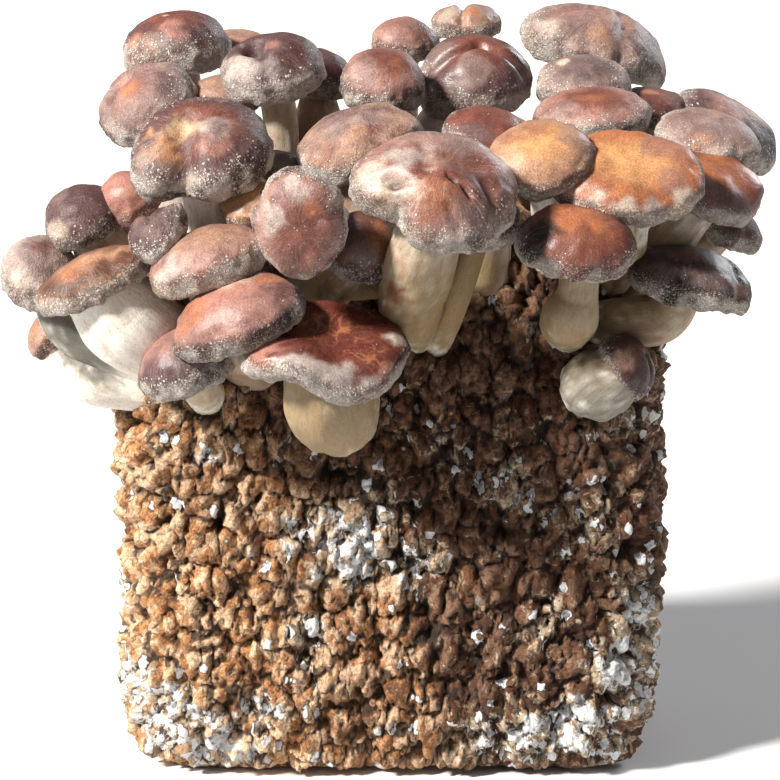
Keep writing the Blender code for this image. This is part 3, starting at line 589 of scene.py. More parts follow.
def keep_in_box(points):
    """Ease points that stand out of the solids' box back into it."""
    low, high = np.array(CAD_BOX[0]) / MM + 0.05, np.array(CAD_BOX[1]) / MM - 0.05
    give = 2.0
    over = points - (high - give)
    points = np.where(over > 0, high - give + give * np.tanh(over / give), points)
    under = (low + give) - points
    eased = low + give - give * np.tanh(under / give)
    for axis in (0, 1):
        points[..., axis] = np.where(under[..., axis] > 0, eased[..., axis], points[..., axis])
    points[..., 2] = np.maximum(points[..., 2], 0.0)
    return points


def angle_between(first, second):
    return np.abs((first - second + 180.0) % 360.0 - 180.0)


def crease_depth(mushroom, x, y):
    """Depth of the dents and creases at shares x and y of the cap's half sizes."""
    depth = np.zeros(np.shape(x))
    for dent_x, dent_y, deep, across in mushroom.dents:
        depth += deep * bell(np.hypot(x - dent_x, y - dent_y), across)
    for x0, y0, x1, y1, deep, across in mushroom.creases:
        run_x, run_y = x1 - x0, y1 - y0
        along = ((x - x0) * run_x + (y - y0) * run_y) / (run_x**2 + run_y**2)
        along = np.clip(along, 0, 1)
        away = np.hypot(x - x0 - along * run_x, y - y0 - along * run_y)
        depth += deep * bell(away, across)
    return depth


def cap_points(mushroom, angle, reach, level, crown):
    """Points of a cap in its own frame, at shares reach of its radius and height levels."""
    half_width, half_depth, _ = mushroom.size
    outward, drop = np.ones(np.shape(angle)), np.zeros(np.shape(angle))
    for lobe_angle, share, down, half_angle in mushroom.lobes:
        strength = bell(angle_between(angle, lobe_angle), half_angle)
        outward = outward + share * strength * reach
        drop = drop + down * strength * reach**2
    seed = int(mushroom.number)
    turn = np.radians(angle)
    for waves, size in ((3, 0.014), (5, 0.012), (8, 0.008)):
        outward = outward + size * np.sin(waves * turn + seed * waves * 1.7) * reach**3
        drop = drop + 12 * size * np.sin(waves * turn + seed * waves * 0.9) * reach**4
    x, y = reach * np.cos(turn), reach * np.sin(turn)
    height = level - drop - mushroom.bend * x**2
    height = height - np.where(crown, crease_depth(mushroom, x, y), 0)
    return np.stack([half_width * x * outward, half_depth * y * outward, height], axis=-1)


def cap_frame(mushroom):
    heading = radians(mushroom.heading)
    hinge = Vector((cos(heading), sin(heading), 0))
    return Matrix.Rotation(radians(mushroom.lean), 3, hinge)


def into_place(mushroom, points):
    """Points of a cap's own frame, moved to where the cap stands."""
    return points @ np.array(cap_frame(mushroom)).T + np.array(mushroom.rim)


def cap_profile(mushroom):
    """Rows of a cap from its top to its middle below: reach, level, crown or not, and zone.

    The zone is the reach on the crown, 1 to 2 round the lip and 2 to 3 under the cap.
    """
    half_width, _, crown = mushroom.size
    roll = min(RIM_ROLL_MOST, RIM_ROLL * half_width)
    rows = []
    for i in range(1, CROWN_ROWS + 1):
        reach = sin(pi / 2 * i / CROWN_ROWS)
        rows.append((reach, crown * max(0.0, 1 - reach**mushroom.flat) ** 0.5, 1, reach))
    for i in range(1, LIP_ROWS + 1):
        turn = pi * i / LIP_ROWS
        reach = 1 - LIP_WIDTH + LIP_WIDTH * cos(turn)
        rows.append((reach, -RIM_REST * roll - (1 - RIM_REST) * roll * sin(turn), 0, 1 + i / LIP_ROWS))
    for i in range(1, UNDER_ROWS + 1):
        share = i / (UNDER_ROWS + 0.5)
        reach = (1 - 2 * LIP_WIDTH) * (1 - share)
        rows.append((reach, -RIM_REST * roll * (1 - share), 0, 2 + share))
    return np.array(rows)


def along_crown(zone):
    """A zone counted evenly along the skin: 0 on the top and 1 at the edge of the crown."""
    return np.where(zone < 1, np.arcsin(np.clip(zone, 0, 1)) * 2 / pi, zone)


def cap_relief(mushroom, grid, angle, zone):
    """Height of the small lumps, wrinkles and folds of a cap, along its normals."""
    seed = int(mushroom.number) * 7
    turn = np.radians(angle)
    outer = ramp(zone, 0.6, 1.0) * (1 - ramp(zone, 1.7, 2.1))
    lip = ramp(zone, 0.9, 1.1) * (1 - ramp(zone, 1.7, 2.1))
    polar = np.stack([np.cos(turn) * 7, np.sin(turn) * 7, zone * 1.5], axis=-1)
    relief = 0.6 * rough_noise(grid / 12.0, seed) + 0.3 * rough_noise(grid / 5.0, seed + 1)
    folds = 1 - 2 * np.abs(soft_noise(grid / 4.2, seed + 3))
    relief += 0.45 * outer * folds + 0.9 * lip * rough_noise(grid / 2.8, seed + 5)
    relief += 0.6 * mushroom.streaks * outer * soft_noise(polar, seed + 9)
    return relief


def cap_tone(mushroom, grid, angle, zone, x, y):
    """Base colour of each point of a cap."""
    seed = int(mushroom.number) * 11
    drift = 0.1 * rough_noise(grid / 7.0, seed) + 0.05 * rough_noise(grid / 2.5, seed + 2)
    middle, half_way, edge, rim = [np.array(linear(name)) for name in mushroom.tones]
    where = along_crown(zone) + 1.2 * drift * (zone < 1.6)
    tone = middle + (half_way - middle) * ramp(where, 0.15, 0.6)[..., None]
    tone = tone + (edge - tone) * ramp(where, 0.66, 1.0)[..., None]
    for patch_x, patch_y, across, colour, strength in mushroom.patches:
        away = np.hypot(x - patch_x, y - patch_y) + 0.9 * across * rough_noise(grid / 4.5, seed + 4)
        share = strength * (1 - ramp(away, 0.45 * across, 1.25 * across)) * (zone < 1.5)
        tone = tone + (np.array(linear(colour)) - tone) * share[..., None]
    lip = ramp(where + 0.5 * drift, mushroom.band, mushroom.band + 0.12)
    tone = tone + (rim - tone) * (0.9 * lip)[..., None]
    under = ramp(zone, 1.75, 2.05)
    return tone + (np.array(linear("gill")) - tone) * under[..., None]


def cap_skin(mushroom, skin, slot=0):
    """Adds a cap to a skin: its crown, the rim rolled in under it and the hollow for the gills."""
    half_width, half_depth, crown = mushroom.size
    columns = 136 if half_width > 25.5 else 96 if half_width > 18 else 80 if half_width > 12 else 64
    profile = cap_profile(mushroom)
    angle = np.arange(columns) * 360.0 / columns
    reach, level, on_crown, zone = [np.repeat(part[:, None], columns, 1) for part in profile.T]
    angle = np.repeat(angle[None, :], len(profile), 0)
    local = cap_points(mushroom, angle, reach, level, on_crown > 0)
    normals = grid_normals(local)
    if normals[3, 0] @ np.array([0, 0, 1.0]) < 0:
        normals = -normals
    x, y = reach * np.cos(np.radians(angle)), reach * np.sin(np.radians(angle))
    local = local + normals * cap_relief(mushroom, local, angle, zone)[..., None]
    tone = cap_tone(mushroom, local, angle, zone, x, y)
    amount, start = mushroom.flecks
    walk = along_crown(zone)
    fleck = 0.04 + ramp(walk, 0.2 + 0.6 * start, 1.1) * (1 - ramp(zone, 1.6, 1.9))
    fleck = np.clip(amount * fleck * (0.75 + 1.5 * rough_noise(local / 6.0, int(mushroom.number) + 60)), 0, 0.75)
    shine = mushroom.gloss * (1 - 0.8 * ramp(walk, 0.65, 0.95))
    crack = np.zeros(zone.shape)
    for crack_x, crack_y, across in mushroom.cracks:
        crack = np.maximum(crack, (1 - ramp(np.hypot(x - crack_x, y - crack_y), 0.5 * across, across)) * (zone < 0.88))
    turn = np.radians(angle)
    polar = np.stack([np.cos(turn), np.sin(turn), zone * 0.12], axis=-1)

    def with_poles(grid):
        """A grid's values, then those of its poles."""
        return np.concatenate([
            grid.reshape(-1, *grid.shape[2:]), grid[0].mean(axis=0)[None], grid[-1].mean(axis=0)[None]])

    points = with_poles(into_place(mushroom, local))
    top = cap_points(mushroom, np.array([0.0]), np.array([0.0]), np.array([crown]), True)
    points[-2] = (points[-2] + into_place(mushroom, top)[0]) / 2
    faces = facing_out(points, tube_faces(len(profile), columns))
    skin.add(
        keep_in_box(points), faces, slot,
        tone=np.concatenate([with_poles(tone), np.ones((len(points), 1))], axis=1),
        fleck=with_poles(fleck), shine=with_poles(shine), crack=with_poles(crack), polar=with_poles(polar),
        streak=with_poles(np.full(zone.shape, mushroom.streaks)), zone=with_poles(zone))


def smooth_path(points, steps):
    """A smooth run through the stem's points, with the radius as a fourth number."""
    points = [np.array(point, dtype=float) for point in points]
    ends = [points[0] * 2 - points[1]] + points + [points[-1] * 2 - points[-2]]
    path = []
    for i in range(1, len(ends) - 2):
        before, here, there, after = ends[i - 1:i + 3]
        for step in range(steps):
            t = step / steps
            path.append(0.5 * (
                here * 2 + (there - before) * t
                + (before * 2 - here * 5 + there * 4 - after) * t**2
                + (here * 3 - before - there * 3 + after) * t**3))
    path.append(points[-1])
    return np.array(path)


def stem_skin(mushroom, skin, slot=0):
    """Adds a stem to a skin: a fibrous tube from inside its cap to inside the block."""
    columns = 48 if mushroom.stem_shows else 24
    steps = 11 if mushroom.stem_shows else 7
    top = Vector(mushroom.rim) + cap_frame(mushroom) @ Vector((0, 0, STEM_ENTERS))
    path = smooth_path([(*top, mushroom.stem[0])] + list(mushroom.stem[1:]), steps)
    rows = len(path)
    swell = mushroom.swell * (1 if mushroom.stem_shows else HIDDEN_STEM_SWELL)
    swell = 1 + (swell - 1) * (0.25 if mushroom.rim[1] > 10 or mushroom.rim[0] > 95 else 1)
    path[:, 3] *= 1 + (swell - 1) * ramp(np.arange(rows) / rows, 0.0, 0.4)
    seed = int(mushroom.number) * 13
    grid = np.zeros((rows, columns, 3))
    turn = np.arange(columns) * 2 * pi / columns
    length = np.concatenate([[0], np.cumsum(np.linalg.norm(np.diff(path[:, :3], axis=0), axis=1))])
    polar = np.zeros((rows, columns, 3))
    for i, point in enumerate(path):
        ahead = Vector(path[min(i + 1, rows - 1)][:3] - path[max(i - 1, 0)][:3]).normalized()
        across = ahead.cross(Vector((0, 1, 0.3))).normalized()
        away = np.array(ahead.cross(across))
        ring = np.cos(turn)[:, None] * np.array(across) + np.sin(turn)[:, None] * away
        polar[i] = np.stack([np.cos(turn), np.sin(turn), np.full(columns, length[i] * 0.02)], axis=-1)
        ribs = 0.05 * soft_noise(polar[i] * np.array([3.0, 3.0, 2.5]), seed)
        ribs += 0.025 * soft_noise(polar[i] * np.array([8.0, 8.0, 4.0]), seed + 2)
        lumps = 0.03 * soft_noise((point[:3] + ring * point[3]) / 6.0, seed + 4)
        grid[i] = point[:3] + ring * (point[3] * (1 + ribs + lumps))[:, None]
    tone = STEM_LIGHT * np.array(linear("stem")) * np.ones((rows, columns, 1))
    shade = STEM_LIGHT * np.array(linear("stem_shade"))
    dull = 0.1 + 0.5 * rough_noise(grid / 9.0, seed + 6) + 0.3 * soft_noise(polar * np.array([9, 9, 3]), seed + 8)
    # Hidden stems are darkened towards fawn, partly as painted shade for the dark gaps between the caps.
    if not mushroom.stem_shows:
        shade = np.array(linear("fawn"))
        dull = 0.6 + dull
    tone = tone + (shade - tone) * np.clip(dull, 0, 1)[..., None]
    for x, y, z, radius, colour, strength in STEM_STAINS:
        away = np.linalg.norm(grid - np.array((x, y, z)), axis=-1) + radius * 0.7 * rough_noise(grid / 2.2, seed + 5)
        share = strength * (1 - ramp(away, 0.6 * radius, 1.8 * radius))
        tone = tone + (np.array(linear(colour)) - tone) * share[..., None]
    flat_tone = np.concatenate([tone.reshape(-1, 3), tone[0, :1], tone[-1, :1]])
    points = np.concatenate([grid.reshape(-1, 3), path[:1, :3], path[-1:, :3]])
    faces = facing_out(points, tube_faces(rows, columns))
    skin.add(
        keep_in_box(points), faces, slot,
        tone=np.concatenate([flat_tone, np.ones((len(points), 1))], axis=1),
        polar=np.concatenate([polar.reshape(-1, 3), polar[0, :1], polar[-1, :1]]))


def add_node(tree, kind, inputs=None, **settings):
    """A node with its settings, and its inputs as values or as sockets to join."""
    made = tree.nodes.new(kind)
    for name, value in settings.items():
        setattr(made, name, value)
    for name, value in (inputs or {}).items():
        socket = made.inputs[name]
        if isinstance(value, bpy.types.NodeSocket):
            tree.links.new(value, socket)
        else:
            socket.default_value = value
    return made


def calculate(tree, operation, first, second=0.0, third=None, clamp=False):
    """A maths node on values or sockets."""
    kind = "ShaderNodeMath"
    inputs = {0: first, 1: second}
    if third is not None:
        inputs[2] = third
    return add_node(tree, kind, inputs, operation=operation, use_clamp=clamp).outputs[0]


def vector_math(tree, operation, first, second=(0, 0, 0)):
    made = add_node(tree, "ShaderNodeVectorMath", {0: first}, operation=operation)
    name = "Scale" if operation == "SCALE" else 1
    socket = made.inputs[name]
    if isinstance(second, bpy.types.NodeSocket):
        tree.links.new(second, socket)
    else:
        socket.default_value = second
    return made.outputs[0]


def map_range(tree, value, low, high, to_low=0.0, to_high=1.0):
    inputs = {"Value": value, "From Min": low, "From Max": high, "To Min": to_low, "To Max": to_high}
    made = add_node(tree, "ShaderNodeMapRange", inputs, interpolation_type="SMOOTHSTEP")
    return made.outputs["Result"]


def mix_colour(tree, share, first, second, blend="MIX"):
    made = add_node(tree, "ShaderNodeMix", data_type="RGBA", blend_type=blend)
    for name, value in ((0, share), (6, first), (7, second)):
        if isinstance(value, bpy.types.NodeSocket):
            tree.links.new(value, made.inputs[name])
        elif name == 0:
            made.inputs[name].default_value = value
        else:
            made.inputs[name].default_value = (*value, 1.0)
    return made.outputs[2]


def noise_node(tree, vector, scale, detail=2.0, roughness=0.5, distortion=0.0):
    inputs = {
        "Vector": vector, "Scale": scale, "Detail": detail, "Roughness": roughness, "Distortion": distortion}
    return add_node(tree, "ShaderNodeTexNoise", inputs)


def cell_node(tree, vector, scale, feature="F1", spread=1.0):
    made = add_node(tree, "ShaderNodeTexVoronoi", {"Vector": vector, "Scale": scale}, feature=feature)
    if "Randomness" in made.inputs:
        made.inputs["Randomness"].default_value = spread
    return made


def new_material(name):
    """A material, its node tree, its shader and the object's own coordinates."""
    material = bpy.data.materials.new(name)
    material.use_nodes = True
    tree = material.node_tree
    shader = tree.nodes["Principled BSDF"]
    place = tree.nodes.new("ShaderNodeTexCoord").outputs["Object"]
    return material, tree, shader, place


def attribute(tree, name, output="Fac"):
    return add_node(tree, "ShaderNodeAttribute", attribute_name=name).outputs[output]


def add_bump(tree, shader, height, strength, distance):
    bump = add_node(tree, "ShaderNodeBump", {"Height": height, "Strength": strength, "Distance": distance})
    tree.links.new(bump.outputs["Normal"], shader.inputs["Normal"])


def cap_material(look):
    """Cap skin: mottled brown, with pale flecks towards the rim, fine streaks and, on some, cracks."""
    material, tree, shader, place = new_material("shiitake cap skin")
    fleck, zone = attribute(tree, "fleck"), attribute(tree, "zone")
    mottle = noise_node(tree, place, 190.0, 5.0, 0.66).outputs["Fac"]
    grain = noise_node(tree, place, 1700.0, 3.0, 0.6).outputs["Fac"]
    uneven = map_range(tree, attribute(tree, "shine"), 0.2, 0.7, 1.0, 0.45)
    tone = mix_colour(tree, uneven, attribute(tree, "tone", "Color"), mix_colour(
        tree, map_range(tree, mottle, 0.3, 0.7), (0.7, 0.64, 0.64), (1.24, 1.2, 1.16)), "MULTIPLY")
    tone = mix_colour(tree, 0.7, tone, mix_colour(
        tree, map_range(tree, grain, 0.3, 0.7), (0.62, 0.58, 0.58), (1.35, 1.35, 1.35)), "MULTIPLY")
    broad = noise_node(tree, place, 90.0, 3.0, 0.6).outputs["Fac"]
    tone = mix_colour(tree, uneven, tone, mix_colour(
        tree, map_range(tree, broad, 0.35, 0.65), (0.76, 0.7, 0.75), (1.2, 1.14, 1.08)), "MULTIPLY")
    streak = noise_node(tree, attribute(tree, "polar", "Vector"), 30.0, 3.0, 0.65).outputs["Fac"]
    streak = calculate(tree, "MULTIPLY", attribute(tree, "streak"), map_range(tree, streak, 0.5, 0.68))
    tone = mix_colour(tree, calculate(tree, "MULTIPLY", streak, 0.3), tone, look.fleck_colour)
    # Folds with dark skin in them run through the outer part.
    edge = calculate(tree, "MULTIPLY", map_range(tree, zone, 0.9, 1.02), map_range(tree, zone, 1.8, 1.4))
    folds = noise_node(tree, place, 340.0, 5.0, 0.68, 0.6).outputs["Fac"]
    folds = map_range(tree, calculate(tree, "ABSOLUTE", calculate(tree, "SUBTRACT", folds, 0.5)), 0.05, 0.0)
    torn = cell_node(tree, bend_place(tree, place, 500.0, 0.0026), 430.0, "DISTANCE_TO_EDGE").outputs["Distance"]
    torn = calculate(tree, "MULTIPLY", map_range(tree, torn, 0.14, 0.02), map_range(tree, grain, 0.35, 0.5))
    folds = calculate(tree, "MULTIPLY", calculate(tree, "MAXIMUM", folds, torn), edge)
    tone = mix_colour(tree, calculate(tree, "MULTIPLY", folds, 0.42), tone, mix_colour(
        tree, 1.0, tone, (0.3, 0.22, 0.18), "MULTIPLY"))
    bloom = calculate(tree, "MULTIPLY", edge, map_range(tree, mottle, 0.3, 0.56, 0.25, 0.9))
    bloom = calculate(tree, "MULTIPLY", bloom, map_range(tree, fleck, 0.1, 0.6))
    tone = mix_colour(tree, bloom, tone, look.bloom_colour)
    # Pale flecks in two sizes, a fine dust and a haze.
    bent = bend_place(tree, place, 1100.0, 0.0012)
    pale = calculate(tree, "MULTIPLY", map_range(tree, mottle, 0.4, 0.66), calculate(tree, "MULTIPLY", fleck, 0.75))
    spots = 0.0
    for scale, share, reach in ((1150.0, 1.5, 0.46), (620.0, 0.85, 0.36)):
        away, pick, _ = cell_picks(tree, bent, scale)
        there = map_range(tree, calculate(tree, "SUBTRACT", calculate(tree, "MULTIPLY", fleck, share), pick), 0.0, 0.08)
        spot = calculate(tree, "MULTIPLY", there, map_range(tree, away, reach, 0.6 * reach))
        spots = calculate(tree, "MAXIMUM", spots, spot)
    dust = calculate(tree, "ADD", grain, calculate(tree, "MULTIPLY", calculate(tree, "MAXIMUM", fleck, edge), 0.2))
    pale = calculate(tree, "MAXIMUM", pale, map_range(tree, dust, 0.68, 0.76))
    pale = calculate(tree, "MULTIPLY", pale, calculate(tree, "SUBTRACT", 1.0, calculate(tree, "MULTIPLY", folds, 0.7)))
    tone = mix_colour(tree, calculate(tree, "MULTIPLY", pale, 0.8), tone, look.bloom_colour)
    tone = mix_colour(tree, calculate(tree, "MULTIPLY", spots, 0.9), tone, look.fleck_colour)
    # A net of cracks that shows the paler flesh.
    net = cell_node(tree, bend_place(tree, place, 170.0, 0.008), 170.0, "DISTANCE_TO_EDGE").outputs["Distance"]
    line = calculate(tree, "MULTIPLY", map_range(tree, net, 0.11, 0.0), attribute(tree, "crack"))
    line = calculate(tree, "MULTIPLY", line, map_range(tree, mottle, 0.35, 0.55))
    tone = mix_colour(tree, calculate(tree, "MULTIPLY", line, 0.75), tone, linear("orange"))
    tree.links.new(tone, shader.inputs["Base Color"])
    rough = map_range(tree, attribute(tree, "shine"), 0.0, 1.0, 0.7, 0.27)
    rough = calculate(tree, "ADD", rough, calculate(tree, "MULTIPLY", pale, 0.25), clamp=True)
    tree.links.new(rough, shader.inputs["Roughness"])
    height = calculate(tree, "MULTIPLY_ADD", grain, 0.4, calculate(tree, "MULTIPLY", mottle, 1.1))
    height = calculate(tree, "MULTIPLY", height, map_range(tree, attribute(tree, "shine"), 0.1, 0.7, 1.7, 0.3))
    height = calculate(tree, "SUBTRACT", height, calculate(tree, "MULTIPLY", folds, 0.8))
    height = calculate(tree, "ADD", height, calculate(tree, "MULTIPLY", spots, 0.6))
    add_bump(tree, shader, height, 0.9, 0.0009)
    return material


def stem_material():
    """Stem flesh: cream, with long fibres and small stains."""
    material, tree, shader, place = new_material("shiitake stem flesh")
    tone = attribute(tree, "tone", "Color")
    fibre = noise_node(tree, attribute(tree, "polar", "Vector"), 16.0, 5.0, 0.7).outputs["Fac"]
    tone = mix_colour(tree, 1.0, tone, mix_colour(
        tree, map_range(tree, fibre, 0.3, 0.7), (0.92, 0.89, 0.84), (1.08, 1.08, 1.08)), "MULTIPLY")
    blotch = noise_node(tree, place, 330.0, 5.0, 0.65).outputs["Fac"]
    stained = calculate(tree, "MULTIPLY", map_range(tree, blotch, 0.58, 0.72), 0.4)
    tone = mix_colour(tree, stained, tone, linear("fawn"))
    pits = map_range(tree, noise_node(tree, place, 1200.0, 2.0, 0.6).outputs["Fac"], 0.52, 0.66)
    tone = mix_colour(tree, calculate(tree, "MULTIPLY", pits, 0.3), tone, mix_colour(
        tree, 1.0, tone, (0.5, 0.42, 0.32), "MULTIPLY"))
    tree.links.new(tone, shader.inputs["Base Color"])
    shader.inputs["Roughness"].default_value = 0.72
    shader.inputs["Subsurface Weight"].default_value = 0.08
    shader.inputs["Subsurface Radius"].default_value = (0.004, 0.0025, 0.0015)
    shader.inputs["Subsurface Scale"].default_value = 0.5
    fine = noise_node(tree, place, 1300.0, 3.0, 0.6).outputs["Fac"]
    height = calculate(tree, "ADD", fibre, calculate(tree, "MULTIPLY", fine, 0.4))
    add_bump(tree, shader, height, 0.5, 0.0007)
    return material


def gill_material():
    """Gills: cream blades, a little browner here and there."""
    material, tree, shader, place = new_material("shiitake gills")
    stain = noise_node(tree, place, 180.0, 4.0).outputs["Fac"]
    tone = mix_colour(tree, map_range(tree, stain, 0.45, 0.75), linear("gill"), linear("fawn"))
    tree.links.new(tone, shader.inputs["Base Color"])
    shader.inputs["Roughness"].default_value = 0.75
    fine = noise_node(tree, place, 1600.0, 2.0).outputs["Fac"]
    add_bump(tree, shader, fine, 0.3, 0.0003)
    return material


def scale_material(look):
    """Loose scales on the caps: off-white with tan edges."""
    material, tree, shader, place = new_material("cap scales")
    spread = noise_node(tree, place, 420.0, 3.0).outputs["Fac"]
    tone = mix_colour(tree, map_range(tree, spread, 0.4, 0.7), look.fleck_colour, linear("fawn"))
    tree.links.new(tone, shader.inputs["Base Color"])
    shader.inputs["Roughness"].default_value = 0.8
    fine = noise_node(tree, place, 2400.0, 2.0).outputs["Fac"]
    add_bump(tree, shader, fine, 0.4, 0.0002)
    return material


def bend_place(tree, place, scale, reach):
    """Coordinates bent by noise, with a reach in metres."""
    colour = noise_node(tree, place, scale, 3.0).outputs["Color"]
    centred = vector_math(tree, "SUBTRACT", colour, (0.5, 0.5, 0.5))
    return vector_math(tree, "ADD", place, vector_math(tree, "SCALE", centred, reach))


def cell_picks(tree, vector, scale):
    """Distance from the middle of a cell, a random number for each cell, and its height as a tilted facet."""
    cells = cell_node(tree, vector, scale)
    split = "FunctionNodeSeparateColor" if tree.bl_idname == "GeometryNodeTree" else "ShaderNodeSeparateColor"
    pick = add_node(tree, split, {0: cells.outputs["Color"]}).outputs[0]
    slope = vector_math(tree, "SUBTRACT", cells.outputs["Color"], (0.5, 0.5, 0.5))
    within = vector_math(tree, "SCALE", vector_math(tree, "SUBTRACT", vector, cells.outputs["Position"]), scale)
    facet = add_node(tree, "ShaderNodeVectorMath", {0: slope, 1: within}, operation="DOT_PRODUCT").outputs["Value"]
    return cells.outputs["Distance"], pick, facet


def crust_material(block):
    """Sawdust: tan to brown chips, painted shade that makes the crevices nearly black and darkens part of the block,
    and patches of white threads.
    """
    material, tree, shader, place = new_material("sawdust crust")
    chip, local = attribute(tree, "chip"), attribute(tree, "polar", "Vector")
    loose = add_node(tree, "ShaderNodeVectorMath", {0: local}, operation="LENGTH").outputs["Value"]
    loose = map_range(tree, loose, 0.0, 0.06)

    def by_kind(fixed, free):
        """One value on the crust itself and another on the loose flakes and crumbs."""
        return calculate(tree, "MULTIPLY_ADD", calculate(tree, "SUBTRACT", free, fixed), loose, fixed)

    bent = bend_place(tree, vector_math(tree, "MULTIPLY", place, (1.0, 1.0, 0.7)), 420.0, 0.0026)
    away, pick, facet = cell_picks(tree, bent, 330.0)
    edge = cell_node(tree, bent, 330.0, "DISTANCE_TO_EDGE").outputs["Distance"]
    spread = noise_node(tree, place, 95.0, 5.0, 0.62).outputs["Fac"]
    fine = noise_node(tree, place, 900.0, 5.0, 0.72).outputs["Fac"]
    own = vector_math(tree, "SCALE", (31.0, 17.0, 5.0), chip)
    fibre = noise_node(tree, vector_math(tree, "ADD", vector_math(
        tree, "MULTIPLY", local, (1.8, 11.0, 11.0)), own), 1.0, 4.0, 0.65).outputs["Fac"]
    grain = by_kind(fine, fibre)
    share = calculate(tree, "MULTIPLY_ADD", chip, 0.42, calculate(tree, "MULTIPLY", by_kind(pick, chip), 0.26))
    share = calculate(tree, "ADD", share, calculate(tree, "MULTIPLY", map_range(tree, spread, 0.3, 0.7), 0.4))
    tone = mix_colour(tree, map_range(tree, share, 0.2, 0.42), block.dark_colour, block.chip_colour)
    tone = mix_colour(tree, map_range(tree, share, 0.42, 0.7), tone, block.pale_colour)
    tone = mix_colour(tree, 1.0, tone, mix_colour(
        tree, map_range(tree, grain, 0.3, 0.7), (0.5, 0.42, 0.36), (1.35, 1.3, 1.24)), "MULTIPLY")
    # Painted shade: the crust is darkened where painted_shade is high, in place of the shadow that the caps cast on the
    # front.
    painted_shade = attribute(tree, "painted_shade")
    tone = mix_colour(tree, painted_shade, tone, mix_colour(tree, 1.0, tone, (0.23, 0.175, 0.155), "MULTIPLY"))
    # White threads: clouds with a cream border and, all over, separate small flecks.
    white = attribute(tree, "white")
    cloud = noise_node(tree, place, 170.0, 5.0, 0.7, 0.8).outputs["Fac"]
    level = calculate(tree, "MULTIPLY_ADD", white, 0.28, cloud)
    fleck_away, fleck_pick, _ = cell_picks(tree, bend_place(
        tree, vector_math(tree, "MULTIPLY", place, (1.0, 1.0, 0.75)), 300.0, 0.005), 230.0)
    wanted = calculate(tree, "MULTIPLY_ADD", white, 0.72, block.fleck_share)
    fleck_pick = by_kind(fleck_pick, calculate(tree, "FRACT", calculate(tree, "MULTIPLY", chip, 7.3)))
    there = map_range(tree, calculate(tree, "SUBTRACT", wanted, fleck_pick), 0.0, 0.02)
    fleck = calculate(tree, "MULTIPLY", there, by_kind(map_range(tree, fleck_away, 0.46, 0.38), 1.0))
    halo = calculate(tree, "MULTIPLY", there, by_kind(map_range(tree, fleck_away, 0.62, 0.48), 0.0))
    cream = map_range(tree, level, 0.57, 0.65)
    tone = mix_colour(tree, calculate(tree, "MULTIPLY", cream, 0.7), tone, block.cream_colour)
    tone = mix_colour(tree, calculate(tree, "MULTIPLY", halo, 0.7), tone, block.shade_and_outline_colour)
    threads = calculate(tree, "MAXIMUM", map_range(tree, level, 0.71, 0.75), fleck)
    tone = mix_colour(tree, calculate(tree, "MULTIPLY", threads, 0.95), tone, block.white_colour)
    # Painted shade: crevices, the undersides of crumbs and flakes and thin lines between the chips go nearly black.
    torn = map_range(tree, noise_node(tree, place, 230.0, 2.0).outputs["Fac"], 0.4, 0.6)
    thin = calculate(tree, "MULTIPLY", map_range(tree, edge, 0.07, 0.0), torn)
    deep = calculate(tree, "MAXIMUM", map_range(tree, attribute(tree, "crevice"), 0.4, 1.0), map_range(
        tree, attribute(tree, "under"), 0.35, 1.1))
    painted_crevice_shade = calculate(tree, "MAXIMUM", deep, by_kind(calculate(tree, "MULTIPLY", thin, 0.6), 0.0), clamp=True)
    painted_crevice_shade = calculate(tree, "MULTIPLY", painted_crevice_shade, calculate(tree, "SUBTRACT", 1.0, calculate(tree, "MULTIPLY", threads, 0.7)))
    tone = mix_colour(tree, calculate(tree, "MULTIPLY", painted_crevice_shade, 0.92), tone, block.shade_and_outline_colour)
    tree.links.new(tone, shader.inputs["Base Color"])
    tree.links.new(map_range(tree, threads, 0.0, 1.0, 0.78, 0.6), shader.inputs["Roughness"])
    height = calculate(tree, "MULTIPLY_ADD", calculate(tree, "MULTIPLY", away, away), -0.6, fine)
    height = calculate(tree, "ADD", height, calculate(tree, "MULTIPLY", facet, 1.4))
    add_bump(tree, shader, by_kind(height, calculate(tree, "MULTIPLY", fibre, 0.9)), 1.0, 0.0014)
    return material


def new_geometry_tree(name, inputs):
    """A Geometry Nodes tree with its input and output nodes and named inputs."""
    tree = bpy.data.node_groups.new(name, "GeometryNodeTree")
    tree.interface.new_socket("Geometry", in_out="INPUT", socket_type="NodeSocketGeometry")
    tree.interface.new_socket("Geometry", in_out="OUTPUT", socket_type="NodeSocketGeometry")
    for label, kind, value in inputs:
        made = tree.interface.new_socket(label, in_out="INPUT", socket_type="NodeSocket" + kind)
        if value is not None:
            made.default_value = value
    return tree, tree.nodes.new("NodeGroupInput").outputs, tree.nodes.new("NodeGroupOutput").inputs


def run_tree(piece, tree, values, name):
    """The piece's evaluated geometry as a plain mesh object of its own."""
    modifier = piece.modifiers.new(tree.name, "NODES")
    modifier.node_group = tree
    names = {item.name: item.identifier for item in tree.interface.items_tree if item.in_out == "INPUT"}
    for label, value in values.items():
        modifier[names[label]] = value
    graph = bpy.context.evaluated_depsgraph_get()
    mesh = bpy.data.meshes.new_from_object(piece.evaluated_get(graph), preserve_all_data_layers=True, depsgraph=graph)
    piece.modifiers.remove(modifier)
    mesh.name = name
    return link_object(name, mesh)


def finish_tree(tree, geometry, material, output):
    """Ends a tree with plain geometry in one material."""
    whole = add_node(tree, "GeometryNodeRealizeInstances", {"Geometry": geometry}).outputs[0]
    painted = add_node(tree, "GeometryNodeSetMaterial", {"Geometry": whole, "Material": material}).outputs[0]
    tree.links.new(painted, output)


